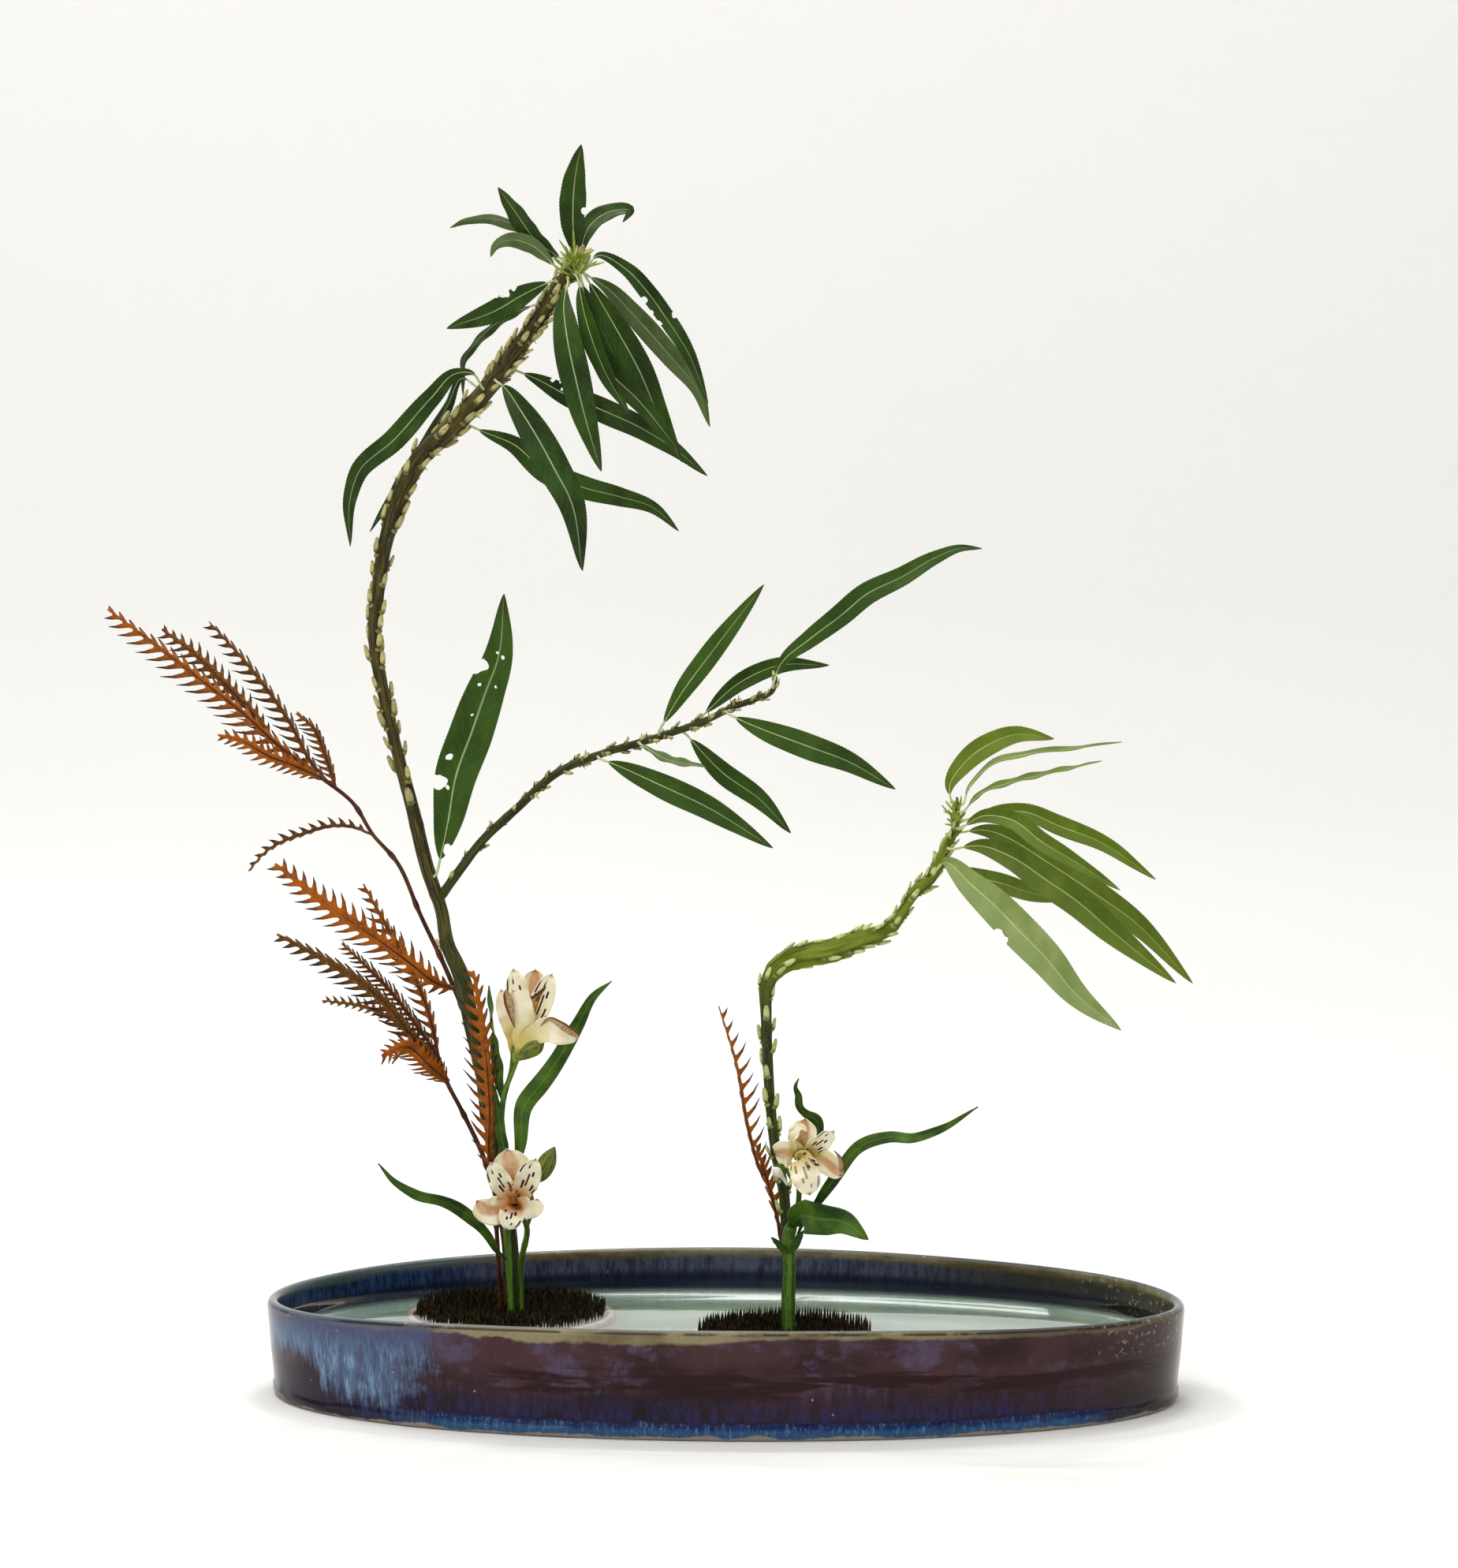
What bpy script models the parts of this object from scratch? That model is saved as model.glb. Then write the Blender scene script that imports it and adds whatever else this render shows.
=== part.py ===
"""An ikebana arrangement with its bowl.

Two bent willow branches with their leaves, rust-brown toothed sprays and alstroemeria stand on
two pin holders (kenzans) under water level in an oval stoneware bowl.

Metres, +Z up. The origin is the middle of the bowl's underside. The bowl's long side lies along
X, the tall branch stands towards -X, and the front is -Y. Plant points are given in millimetres.
"""
from math import cos, pi, radians, sin

import bmesh
import bpy
from mathutils import Vector

MM = 0.001
GAP = 0.3 * MM                  # between pieces that rest on or hold each other

# Bowl
BOWL_LENGTH = 505 * MM          # over the rim
BOWL_WIDTH = 265 * MM
BOWL_HEIGHT_ENDS = 54 * MM
BOWL_HEIGHT_SIDES = 60 * MM
BOWL_WALL = 6.5 * MM
BOWL_FLOOR = 12 * MM
BOWL_TAPER = 4 * MM             # how far the wall leans in from the rim to the foot
BOWL_SEGMENTS = 48
OVAL_POWER = 2.05               # 2 is an ellipse, more is squarer

# Kenzans, each in its rubber ring
LEFT_KENZAN_RADIUS = 54 * MM
RIGHT_KENZAN_RADIUS = 49 * MM
KENZAN_PLATE = 10 * MM
KENZAN_HEIGHT = 32 * MM
PIN_SPACING = 12 * MM
PIN_WIDTH = 2.4 * MM
RING_WIDTH = 4.5 * MM
RING_HEIGHT = 11 * MM
LEFT_KENZAN = Vector((-121, 35, 0)) * MM
RIGHT_KENZAN = Vector((34, -25, 0)) * MM
PLATE_TOP = BOWL_FLOOR + GAP + KENZAN_PLATE
FOOT = (PLATE_TOP + GAP) / MM   # height of every stem's cut end, in millimetres

STEM_SPACING = 10 * MM          # length of one straight piece of stem

# Blades
LEAF_THICKNESS = 0.9 * MM
LEAF_STATIONS = 9
TEPAL_THICKNESS = 0.8 * MM
OVARY_WIDTH = 7.2 * MM
OVARY_LENGTH = 11 * MM
TOOTH_SPACING = 8 * MM
TOOTH_LENGTH = 9.5 * MM
SPRAY_THICKNESS = 1.2 * MM

# ---------------------------------------------------------------- the plants' lines

# Each branch and stem is a list of (x, y, z, radius) points in millimetres, from its cut end up.
LEFT_BRANCH = [
    (-118, 22, FOOT, 3.2), (-119, 21, 69, 3.2), (-121, 20, 95, 3.4), (-128, 17, 140, 3.8),
    (-133, 15, 167, 4.1), (-140, 12, 202, 4.3), (-146, 9, 231, 4.4), (-153, 7, 248, 3.9),
    (-156, 6, 266, 3.6), (-163, 4, 288, 4.0), (-172, 0, 327, 3.7), (-178, -3, 351, 3.2),
    (-184, -6, 378, 3.3), (-190, -10, 416, 3.5), (-187, -12, 449, 3.6), (-184, -13, 467, 3.8),
    (-175, -15, 494, 4.2), (-163, -17, 516, 4.7), (-148, -19, 530, 5.0), (-132, -21, 547, 4.9),
    (-118, -22, 564, 4.6), (-106, -23, 580, 4.1), (-96, -24, 594, 3.8), (-87, -25, 609, 3.3),
    (-79, -26, 619, 2.6), (-77, -26, 623, 1.0),
]
SIDE_SHOOT = [
    (-157, 5, 273, 2.6), (-144, 4, 291, 2.5), (-134, 2, 304, 2.4), (-114, -2, 323, 2.3),
    (-90, -6, 344, 2.2), (-67, -10, 354, 2.1), (-38, -14, 363, 2.0), (-8, -20, 374, 1.8),
    (6, -23, 381, 1.7), (19, -26, 386, 1.6), (27, -28, 390, 1.5), (29, -29, 398, 1.2),
]
RIGHT_BRANCH = [
    (34, -24, FOOT, 2.7), (35, -24, 97, 2.9), (33, -24, 120, 2.9), (30, -25, 135, 2.9),
    (27, -26, 156, 2.8), (25, -27, 186, 2.8), (24, -29, 215, 2.9), (24, -30, 229, 3.2),
    (28, -31, 238, 4.0), (35, -32, 244, 4.8), (46, -32, 248, 5.4), (58, -32, 250, 5.8),
    (75, -33, 256, 5.2), (86, -34, 260, 4.4), (92, -34, 263, 3.6), (98, -35, 272, 2.8),
    (106, -36, 284, 3.0), (113, -36, 290, 3.1), (117, -37, 297, 3.1), (122, -37, 308, 2.8),
    (126, -38, 317, 2.6), (127, -38, 330, 2.2), (127, -38, 334, 1.0),
]
TALL_SPRAY_STEM = [
    (-116, 32, FOOT, 1.5), (-120, 30, 95, 1.4), (-126, 28, 125, 1.4), (-134, 27, 144, 1.4),
    (-138, 25, 171, 1.3), (-141, 24, 193, 1.3), (-153, 21, 227, 1.3), (-169, 17, 263, 1.2),
    (-182, 14, 293, 1.2), (-194, 12, 307, 1.1), (-205, 10, 325, 1.1), (-222, 8, 339, 1.1),
]
SHORT_SPRAY_STEM = [
    (-123, 36, FOOT, 1.4), (-127, 33, 93, 1.3), (-135, 31, 124, 1.3), (-148, 29, 153, 1.2),
    (-156, 28, 169, 1.2), (-161, 28, 184, 1.1),
]
FRONT_SPRAY_STEM = [
    (-125, 16, FOOT, 1.2), (-126, 14, 70, 1.2), (-127, 11, 95, 1.2), (-127, 7, 115, 1.1),
    (-130, 2, 131, 1.1),
]
RIGHT_SPRAY_STEM = [(33, -15, FOOT, 1.2), (34, -14, 76, 1.2), (30, -10, 97, 1.1)]
TALL_FLOWER_STEM = [
    (-118, 12, FOOT, 2.2), (-120, 10, 71, 2.1), (-121, 9, 89, 2.0), (-123, 4, 133, 1.8),
    (-122, -2, 160, 1.7), (-115, -9, 182, 1.5),
]
LOW_FLOWER_STEM = [(-112, 14, FOOT, 1.6), (-113, 9, 71, 1.6), (-109, 0, 92, 1.6), (-112, -10, 103, 1.2)]
RIGHT_FLOWER_STEM = [
    (36, -36, FOOT, 3.4), (37, -36, 80, 3.5), (37, -36, 96, 3.4), (41, -39, 107, 1.7),
    (43, -45, 123, 1.6),
]

# Buds stand on short pedicels: (x, y, z, radius) from inside the stem to the bud's tip.
TALL_STEM_BUD = [
    (-117, -7, 177, 0.9), (-110, -16, 183, 1.0), (-103, -21, 187, 3.8), (-97, -26, 194, 1.2),
]
LOW_STEM_BUD = [(-109, 0, 92, 1.0), (-104, -5, 113, 1.1), (-98, -8, 123, 4.4), (-91, -11, 137, 0.9)]
RIGHT_STEM_BUD = [(41, -39, 107, 0.9), (36, -44, 114, 1.0), (33, -49, 119, 3.2), (29, -53, 124, 0.9)]

# A leaf is (midrib points, width, roll at its base, roll at its tip): millimetres and degrees.
# At no roll the blade faces the front.
LEFT_CROWN_LEAVES = [
    ([(-79, -26, 622), (-80, -28, 643), (-79, -30, 662), (-75, -34, 683)], 14.5, 0, 10),
    ([(-85, -29, 621), (-101, -34, 634), (-110, -38, 647), (-119, -42, 660)], 12, 35, 15),
    ([(-88, -20, 620), (-111, -12, 640), (-129, -6, 644), (-140, -2, 643),
      (-149, 0, 639)], 10, 60, 50),
    ([(-88, -30, 617), (-103, -36, 630), (-113, -40, 632), (-120, -43, 629),
      (-123, -44, 623)], 9, 30, -20),
    ([(-78, -21, 621), (-71, -14, 641), (-60, -8, 648), (-51, -4, 648), (-55, -2, 642)], 11, 15, 40),
    ([(-90, -31, 611), (-106, -38, 603), (-119, -46, 595), (-145, -60, 585)], 12.5, 10, 0),
    ([(-100, -18, 598), (-112, -12, 594), (-123, -8, 588), (-134, -6, 578), (-141, -5, 569),
      (-142, -4, 548)], 9, 60, 70),
    ([(-82, -33, 611), (-84, -40, 599), (-82, -48, 582), (-77, -52, 559), (-72, -54, 539),
      (-63, -56, 509)], 16.5, 5, -5),
    ([(-77, -33, 612), (-73, -40, 593), (-62, -46, 563), (-48, -50, 539)], 11, -20, -30),
    ([(-77, -18, 612), (-65, -8, 582), (-50, -4, 552), (-40, -2, 535)], 10, -10, -20),
    ([(-76, -29, 614), (-69, -33, 581), (-60, -34, 562), (-45, -34, 547),
      (-23, -36, 520)], 13, 15, 10),
    ([(-75, -22, 615), (-57, -20, 584), (-45, -19, 562), (-36, -19, 541),
      (-22, -20, 513)], 15.5, 0, 5),
    ([(-76, -14, 615), (-62, 2, 605), (-51, 10, 593), (-29, 15, 568), (-16, 17, 552),
      (-9, 18, 531)], 12, 20, 0),
    ([(-73, -25, 618), (-67, -16, 624), (-52, -10, 616), (-42, -6, 605), (-30, -3, 588),
      (-21, -1, 574), (-9, 2, 544)], 10, 25, 10),
]
LEFT_STEM_LEAVES = [
    ([(-114, -15, 563), (-99, -2, 556), (-89, 6, 550), (-67, 16, 540), (-48, 22, 531), (-29, 26, 519),
      (-11, 30, 504)], 13.5, 0, 0),
    ([(-122, -29, 557), (-116, -36, 553), (-107, -43, 541), (-96, -49, 524), (-87, -53, 508),
      (-80, -55, 495), (-73, -58, 456)], 17.5, 0, 0),
    ([(-139, -12, 533), (-131, -6, 529), (-115, 1, 522), (-98, 7, 507), (-77, 12, 498), (-58, 16, 493),
      (-40, 19, 487), (-26, 21, 474)], 13, 5, 0),
    ([(-129, -29, 553), (-134, -34, 561), (-142, -38, 561), (-155, -44, 548), (-174, -52, 526),
      (-193, -58, 508), (-197, -60, 495), (-197, -62, 469)], 12, 20, -10),
    ([(-133, -13, 553), (-142, -8, 558), (-150, -4, 544), (-158, -2, 530), (-174, 1, 507),
      (-194, 4, 474)], 9, 50, 45),
]
FORK_LEAF = ([(-158, 0, 286), (-151, -6, 316), (-146, -10, 342), (-137, -14, 366), (-129, -18, 388),
              (-122, -21, 406), (-118, -26, 442)], 24, 0, 0)
SIDE_SHOOT_LEAVES = [
    ([(-35, -18, 367), (-21, -24, 390), (-7, -28, 409), (23, -36, 448)], 11.5, 10, 0),
    ([(-13, -15, 374), (10, -8, 394), (29, -2, 402), (57, 4, 402)], 10, 10, 0),
    ([(27, -31, 392), (32, -35, 405), (48, -38, 419), (65, -41, 432), (78, -43, 443), (98, -45, 453),
      (115, -46, 463), (128, -46, 468), (140, -46, 468)], 12.5, 10, 20),
    ([(2, -26, 378), (11, -29, 374), (46, -34, 361), (68, -36, 353), (94, -38, 338)], 14, 0, 0),
    ([(-21, -13, 366), (0, -4, 343), (19, 0, 329), (36, 4, 310)], 12, 10, 0),
    ([(-68, -14, 352), (-61, -18, 350), (-34, -26, 339), (-7, -32, 327), (28, -38, 306)], 14, 0, 0),
    ([(-46, -18, 361), (-30, -30, 353), (-8, -42, 350)], 9, 70, 65),
]
RIGHT_CROWN_LEAVES = [
    ([(124, -41, 331), (123, -43, 340), (130, -46, 352), (145, -50, 364), (158, -53, 369),
      (179, -56, 367)], 12, 10, 5),
    ([(130, -34, 329), (134, -26, 339), (146, -18, 350), (164, -12, 355), (183, -7, 357),
      (216, 0, 361)], 9, 65, 60),
    ([(130, -42, 326), (141, -54, 338), (156, -62, 344), (170, -67, 348), (185, -72, 352),
      (204, -76, 357)], 9, 60, 60),
    ([(130, -37, 321), (147, -38, 326), (164, -38, 326), (181, -38, 319), (202, -38, 311),
      (234, -38, 290)], 11, 25, 20),
    ([(128, -42, 317), (143, -58, 326), (158, -69, 324), (172, -76, 314), (186, -80, 306),
      (214, -84, 289)], 10.5, 15, 10),
    ([(126, -32, 314), (143, -16, 314), (181, 0, 292), (204, 8, 276), (222, 12, 263),
      (256, 18, 227)], 15.5, 0, 0),
    ([(123, -42, 306), (141, -52, 309), (158, -58, 303), (175, -62, 292), (190, -64, 282),
      (209, -66, 266), (244, -70, 238)], 16.5, 0, 0),
    ([(121, -34, 298), (131, -20, 291), (153, -10, 284), (170, -4, 278), (191, 2, 274)], 11, 10, 0),
    ([(115, -41, 294), (121, -50, 300), (135, -59, 289), (149, -64, 277), (160, -67, 266),
      (175, -70, 251), (190, -72, 233), (215, -74, 213)], 19.5, 0, 0),
]
STRAP_LEAVES = {
    "tall_flower_leaf_left": (
        [(-124, 4, 145), (-125, 3, 174), (-126, 3, 190), (-127, 3, 204), (-130, 5, 223)], 5.5, 35, 60),
    "tall_flower_leaf_right": (
        [(-119, 2, 117), (-112, -7, 136), (-109, -16, 161), (-100, -23, 173), (-89, -28, 189),
         (-79, -32, 207), (-70, -36, 223), (-60, -40, 232)], 11, 20, 10),
    "low_flower_leaf": (
        [(-121, 7, 73), (-125, 1, 78), (-130, -6, 88), (-141, -15, 102), (-154, -22, 110),
         (-167, -26, 114), (-178, -30, 121), (-187, -34, 132)], 8, 25, 10),
    "right_flower_leaf_long": (
        [(41, -35, 94), (46, -37, 105), (52, -43, 113), (59, -50, 124), (66, -54, 135), (76, -58, 147),
         (92, -62, 153), (104, -66, 153), (118, -70, 158), (139, -78, 172)], 7.5, 30, 20),
    "right_flower_leaf_broad": (
        [(38, -40, 100), (43, -52, 108), (55, -66, 109), (68, -76, 109), (81, -84, 101)], 19, 0, 0),
    "right_flower_leaf_curled": (
        [(46, -41, 120), (50, -39, 134), (53, -39, 150), (52, -40, 162), (47, -42, 170),
         (41, -46, 180)], 6, 10, 40),
}

# A frond is (midrib points, which sides have teeth); it starts inside the stem it grew from.
TALL_SPRAY_FRONDS = [
    ([(-222, 8, 339), (-247, 2, 359), (-260, -2, 372), (-281, -8, 390), (-309, -16, 413),
      (-334, -24, 433)], "both"),
    ([(-247, 2, 359), (-260, 3, 376), (-273, 6, 389), (-293, 10, 408), (-310, 12, 420)], "both"),
    ([(-217, 9, 335), (-229, 14, 348), (-240, 20, 367), (-262, 28, 396), (-287, 34, 423)], "both"),
    ([(-214, 9, 333), (-219, -2, 353), (-225, -10, 369), (-233, -14, 376)], "both"),
    ([(-222, 8, 339), (-236, -6, 347), (-249, -14, 353), (-261, -20, 361), (-274, -26, 365)], "both"),
    ([(-194, 12, 307), (-206, 18, 311), (-218, 24, 311), (-232, 30, 307), (-257, 37, 295),
      (-267, 40, 284)], "left"),
    ([(-150, 21.5, 221), (-160, 10, 226), (-173, 0, 238), (-185, -6, 248), (-215, -18, 271),
      (-243, -28, 295)], "both"),
]
SHORT_SPRAY_FRONDS = [
    ([(-160, 28, 182), (-166, 32, 206), (-174, 35, 226), (-193, 39, 259), (-203, 41, 277)], "both"),
    ([(-160, 28, 182), (-171, 20, 200), (-184, 14, 219), (-198, 8, 235), (-211, 4, 248)], "both"),
    ([(-159, 28, 176), (-171, 14, 192), (-184, 3, 212), (-196, -5, 225), (-226, -17, 246),
      (-243, -23, 256)], "both"),
    ([(-160, 28, 181), (-172, 38, 189), (-187, 47, 200), (-202, 53, 206), (-229, 62, 209)], "both"),
    ([(-155, 28, 168), (-164, 16, 179), (-176, 6, 191), (-188, -4, 187)], "both"),
]
FRONT_SPRAY_FRONDS = [
    ([(-128, 5, 122), (-130, 1, 136), (-129, -2, 150), (-130, -4, 178), (-132, -6, 199),
      (-137, -9, 235)], "both"),
]
RIGHT_SPRAY_FRONDS = [
    ([(31, -11, 93), (27, -7, 111), (19, -3, 127), (13, 2, 147), (6, 10, 182),
      (-4, 16, 213)], "right"),
    ([(31, -11, 93), (28, -14, 107), (24, -17, 122), (18, -21, 142)], "left"),
]

# A flower is (direction it faces, turn about that direction, outer and inner tepal reach); it
# sits on the end of its stem.
TALL_FLOWER = ((0.42, -0.42, 0.8), 15, 23, 13)
LOW_FLOWER = ((0, -0.95, 0.3), 0, 22, 19)
RIGHT_FLOWER = ((0.3, -0.75, 0.55), 10, 22, 18)


# ---------------------------------------------------------------- general helpers

def clear_scene():
    for obj in list(bpy.data.objects):
        bpy.data.objects.remove(obj, do_unlink=True)


def finish_of(name, colour, roughness, metallic=0.0):
    """A plain Principled material; one is made for each kind of finish."""
    material = bpy.data.materials.new(name)
    material.use_nodes = True
    shader = material.node_tree.nodes["Principled BSDF"]
    shader.inputs["Base Color"].default_value = (*colour, 1.0)
    shader.inputs["Roughness"].default_value = roughness
    shader.inputs["Metallic"].default_value = metallic
    return material


def add_object(name, mesh, material):
    mesh.materials.clear()
    mesh.materials.append(material)
    obj = bpy.data.objects.new(name, mesh)
    bpy.context.scene.collection.objects.link(obj)
    return obj


def mesh_from(bm, name, smooth=True):
    mesh = bpy.data.meshes.new(name)
    bm.to_mesh(mesh)
    bm.free()
    if smooth:
        mesh.shade_smooth()
        mesh.set_sharp_from_angle(angle=radians(40))
    return mesh


def hide_tool(obj):
    obj.hide_render = True
    obj.display_type = "WIRE"


def join_solids(obj, operands):
    """Grow the operands onto the object as one solid."""
    for operand in operands:
        hide_tool(operand)
        union = obj.modifiers.new("grown_" + operand.name, "BOOLEAN")
        union.operation = "UNION"
        union.solver = "EXACT"
        union.object = operand


def to_metres(points):
    return [Vector(point) * MM for point in points]


def smooth_path(points, count):
    """`count` points along one smooth curve through the given vectors, evenly spaced."""
    knots = [0.0]
    for a, b in zip(points, points[1:]):
        knots.append(knots[-1] + (Vector(b[:3]) - Vector(a[:3])).length)
    slopes = [(b - a) / (tb - ta) for a, b, ta, tb in zip(points, points[1:], knots, knots[1:])]
    tangents = [slopes[0]]
    for i in range(1, len(points) - 1):
        before = knots[i] - knots[i - 1]
        after = knots[i + 1] - knots[i]
        tangents.append((slopes[i - 1] * after + slopes[i] * before) / (before + after))
    tangents.append(slopes[-1])
    path = []
    segment = 0
    for step in range(count):
        t = knots[-1] * step / (count - 1)
        while segment < len(points) - 2 and t > knots[segment + 1]:
            segment += 1
        span = knots[segment + 1] - knots[segment]
        u = min((t - knots[segment]) / span, 1.0)
        path.append(points[segment] * (2 * u ** 3 - 3 * u ** 2 + 1)
                    + tangents[segment] * (span * (u ** 3 - 2 * u ** 2 + u))
                    + points[segment + 1] * (3 * u ** 2 - 2 * u ** 3)
                    + tangents[segment + 1] * (span * (u ** 3 - u ** 2)))
    return path


def directions(path):
    """The direction of travel at each point of a path."""
    ends = [path[0]] + path + [path[-1]]
    return [(after - before).normalized() for before, after in zip(ends, ends[2:])]


def path_length(path):
    return sum((b - a).length for a, b in zip(path, path[1:]))


# ---------------------------------------------------------------- bowl

def oval_ring(bm, inset, height_at):
    """One loop of the bowl's oval outline, pulled in by `inset` all round."""
    ring = []
    for step in range(BOWL_SEGMENTS):
        angle = 2 * pi * step / BOWL_SEGMENTS
        across, along = sin(angle), cos(angle)
        reach = (abs(along) ** OVAL_POWER + abs(across) ** OVAL_POWER) ** (-1 / OVAL_POWER)
        x = along * reach * (BOWL_LENGTH / 2 - inset)
        y = across * reach * (BOWL_WIDTH / 2 - inset)
        ring.append(bm.verts.new((x, y, height_at(abs(across)))))
    return [bm.edges.new((a, b)) for a, b in zip(ring, ring[1:] + ring[:1])]


def make_bowl(glaze):
    """Flat foot, near-upright wall, rounded lip, and a floor with a rounded inner corner."""
    def rim(drop):
        return lambda side: BOWL_HEIGHT_ENDS + (BOWL_HEIGHT_SIDES - BOWL_HEIGHT_ENDS) * side ** 2 - drop

    def level(height):
        return lambda side: height

    lip = BOWL_WALL / 2
    inner_foot = BOWL_TAPER + BOWL_WALL
    profile = [
        (BOWL_TAPER + 2 * MM, level(0)), (BOWL_TAPER, level(2 * MM)), (BOWL_TAPER / 2, rim(28 * MM)),
        (0, rim(lip)), (lip * 0.3, rim(lip * 0.3)), (lip, rim(0)), (lip * 1.7, rim(lip * 0.3)),
        (BOWL_WALL, rim(lip)), (BOWL_WALL + BOWL_TAPER / 2, rim(28 * MM)),
        (inner_foot, level(BOWL_FLOOR + 6 * MM)), (inner_foot + 2 * MM, level(BOWL_FLOOR + 2 * MM)),
        (inner_foot + 6 * MM, level(BOWL_FLOOR)),
    ]
    bm = bmesh.new()
    rings = [oval_ring(bm, inset, height) for inset, height in profile]
    for lower, upper in zip(rings, rings[1:]):
        bmesh.ops.bridge_loops(bm, edges=lower + upper)
    bmesh.ops.contextual_create(bm, geom=rings[0])
    bmesh.ops.contextual_create(bm, geom=rings[-1])
    bmesh.ops.recalc_face_normals(bm, faces=bm.faces)
    return add_object("bowl", mesh_from(bm, "bowl"), glaze)


# ---------------------------------------------------------------- kenzans

def pin_places(plate_radius, stem_feet):
    """Pins in offset rows over the plate, left out where a stem stands."""
    rows = int(plate_radius / PIN_SPACING) + 2
    for row in range(-rows, rows + 1):
        shift = PIN_SPACING / 2 if row % 2 else 0.0
        for column in range(-rows, rows + 1):
            place = Vector((column * PIN_SPACING + shift, row * PIN_SPACING * 0.87, 0))
            if place.length > plate_radius - 2.5 * MM:
                continue
            if all((place - foot).length > radius + PIN_WIDTH for foot, radius in stem_feet):
                yield place


def make_kenzan(name, centre, radius, stems, metal):
    """A round plate with upright pointed pins, one casting."""
    floor = BOWL_FLOOR + GAP
    bm = bmesh.new()
    bmesh.ops.create_cone(bm, cap_ends=True, segments=40, radius1=radius, radius2=radius,
                          depth=KENZAN_PLATE)
    bmesh.ops.translate(bm, verts=bm.verts, vec=centre + Vector((0, 0, floor + KENZAN_PLATE / 2)))
    plate = add_object(name, mesh_from(bm, name), metal)

    feet = [(Vector((x * MM, y * MM, 0)) - centre, thickness * MM) for x, y, _, thickness in stems]
    length = KENZAN_HEIGHT - KENZAN_PLATE + 1 * MM
    pins = bmesh.new()
    for place in pin_places(radius, feet):
        made = bmesh.ops.create_cone(pins, cap_ends=True, segments=4, radius1=PIN_WIDTH / 2,
                                     radius2=0, depth=length)
        middle = centre + place + Vector((0, 0, floor + KENZAN_HEIGHT - length / 2))
        bmesh.ops.translate(pins, verts=made["verts"], vec=middle)
    join_solids(plate, [add_object(name + "_pins", mesh_from(pins, name + "_pins"), metal)])


def make_ring(name, centre, plate_radius, rubber):
    """The band that is stretched round a kenzan's plate."""
    inner = plate_radius + GAP
    outer = plate_radius + RING_WIDTH
    bm = bmesh.new()
    corners = [(inner, 0), (outer, 0), (outer, RING_HEIGHT * 0.8),
               (outer - 1.5 * MM, RING_HEIGHT), (inner, RING_HEIGHT)]
    profile = [bm.verts.new((radius, 0, height)) for radius, height in corners]
    edges = [bm.edges.new((a, b)) for a, b in zip(profile, profile[1:] + profile[:1])]
    bmesh.ops.spin(bm, geom=profile + edges, axis=(0, 0, 1), cent=(0, 0, 0), steps=40,
                   angle=2 * pi, use_merge=True)
    bmesh.ops.remove_doubles(bm, verts=bm.verts, dist=0.00001)
    bmesh.ops.recalc_face_normals(bm, faces=bm.faces)
    bmesh.ops.translate(bm, verts=bm.verts, vec=centre + Vector((0, 0, BOWL_FLOOR + GAP)))
    add_object(name, mesh_from(bm, name), rubber)


# ---------------------------------------------------------------- stems

def stem_rows(points, spacing):
    """Even steps along a stem, each the middle and the radius as one four-part vector."""
    rows = [Vector(point) * MM for point in points]
    length = path_length([Vector(row[:3]) for row in rows])
    return smooth_path(rows, max(int(length / spacing), 6))


def stem_object(name, points, material, spacing=STEM_SPACING, resolution=2):
    """A round stem of changing thickness: a bevelled curve turned into a mesh."""
    rows = stem_rows(points, spacing)
    curve = bpy.data.curves.new(name, "CURVE")
    curve.dimensions = "3D"
    curve.bevel_depth = 1.0
    curve.bevel_resolution = resolution
    curve.use_fill_caps = True
    spline = curve.splines.new("POLY")
    spline.points.add(len(rows) - 1)
    for point, row in zip(spline.points, rows):
        point.co = (*row[:3], 1.0)
        point.radius = row[3]
    guide = bpy.data.objects.new(name + "_line", curve)
    mesh = bpy.data.meshes.new_from_object(guide)
    bpy.data.objects.remove(guide)
    mesh.shade_smooth()
    mesh.name = name
    bm = bmesh.new()
    bm.from_mesh(mesh)
    bmesh.ops.remove_doubles(bm, verts=bm.verts, dist=0.00001)
    bmesh.ops.recalc_face_normals(bm, faces=bm.faces)
    bm.to_mesh(mesh)
    bm.free()
    return add_object(name, mesh, material)


def seat_beside(start, stem, clearance):
    """Move a leaf's first point straight out from the stem's middle until it clears the bark."""
    rows = stem_rows(stem, STEM_SPACING)
    fine = [low.lerp(high, share / 8) for low, high in zip(rows, rows[1:]) for share in range(9)]
    nearest = min(fine, key=lambda row: (Vector(row[:3]) - start).length)
    centre = Vector(nearest[:3])
    return centre + (start - centre).normalized() * (nearest[3] + clearance)


# ---------------------------------------------------------------- blades

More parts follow.
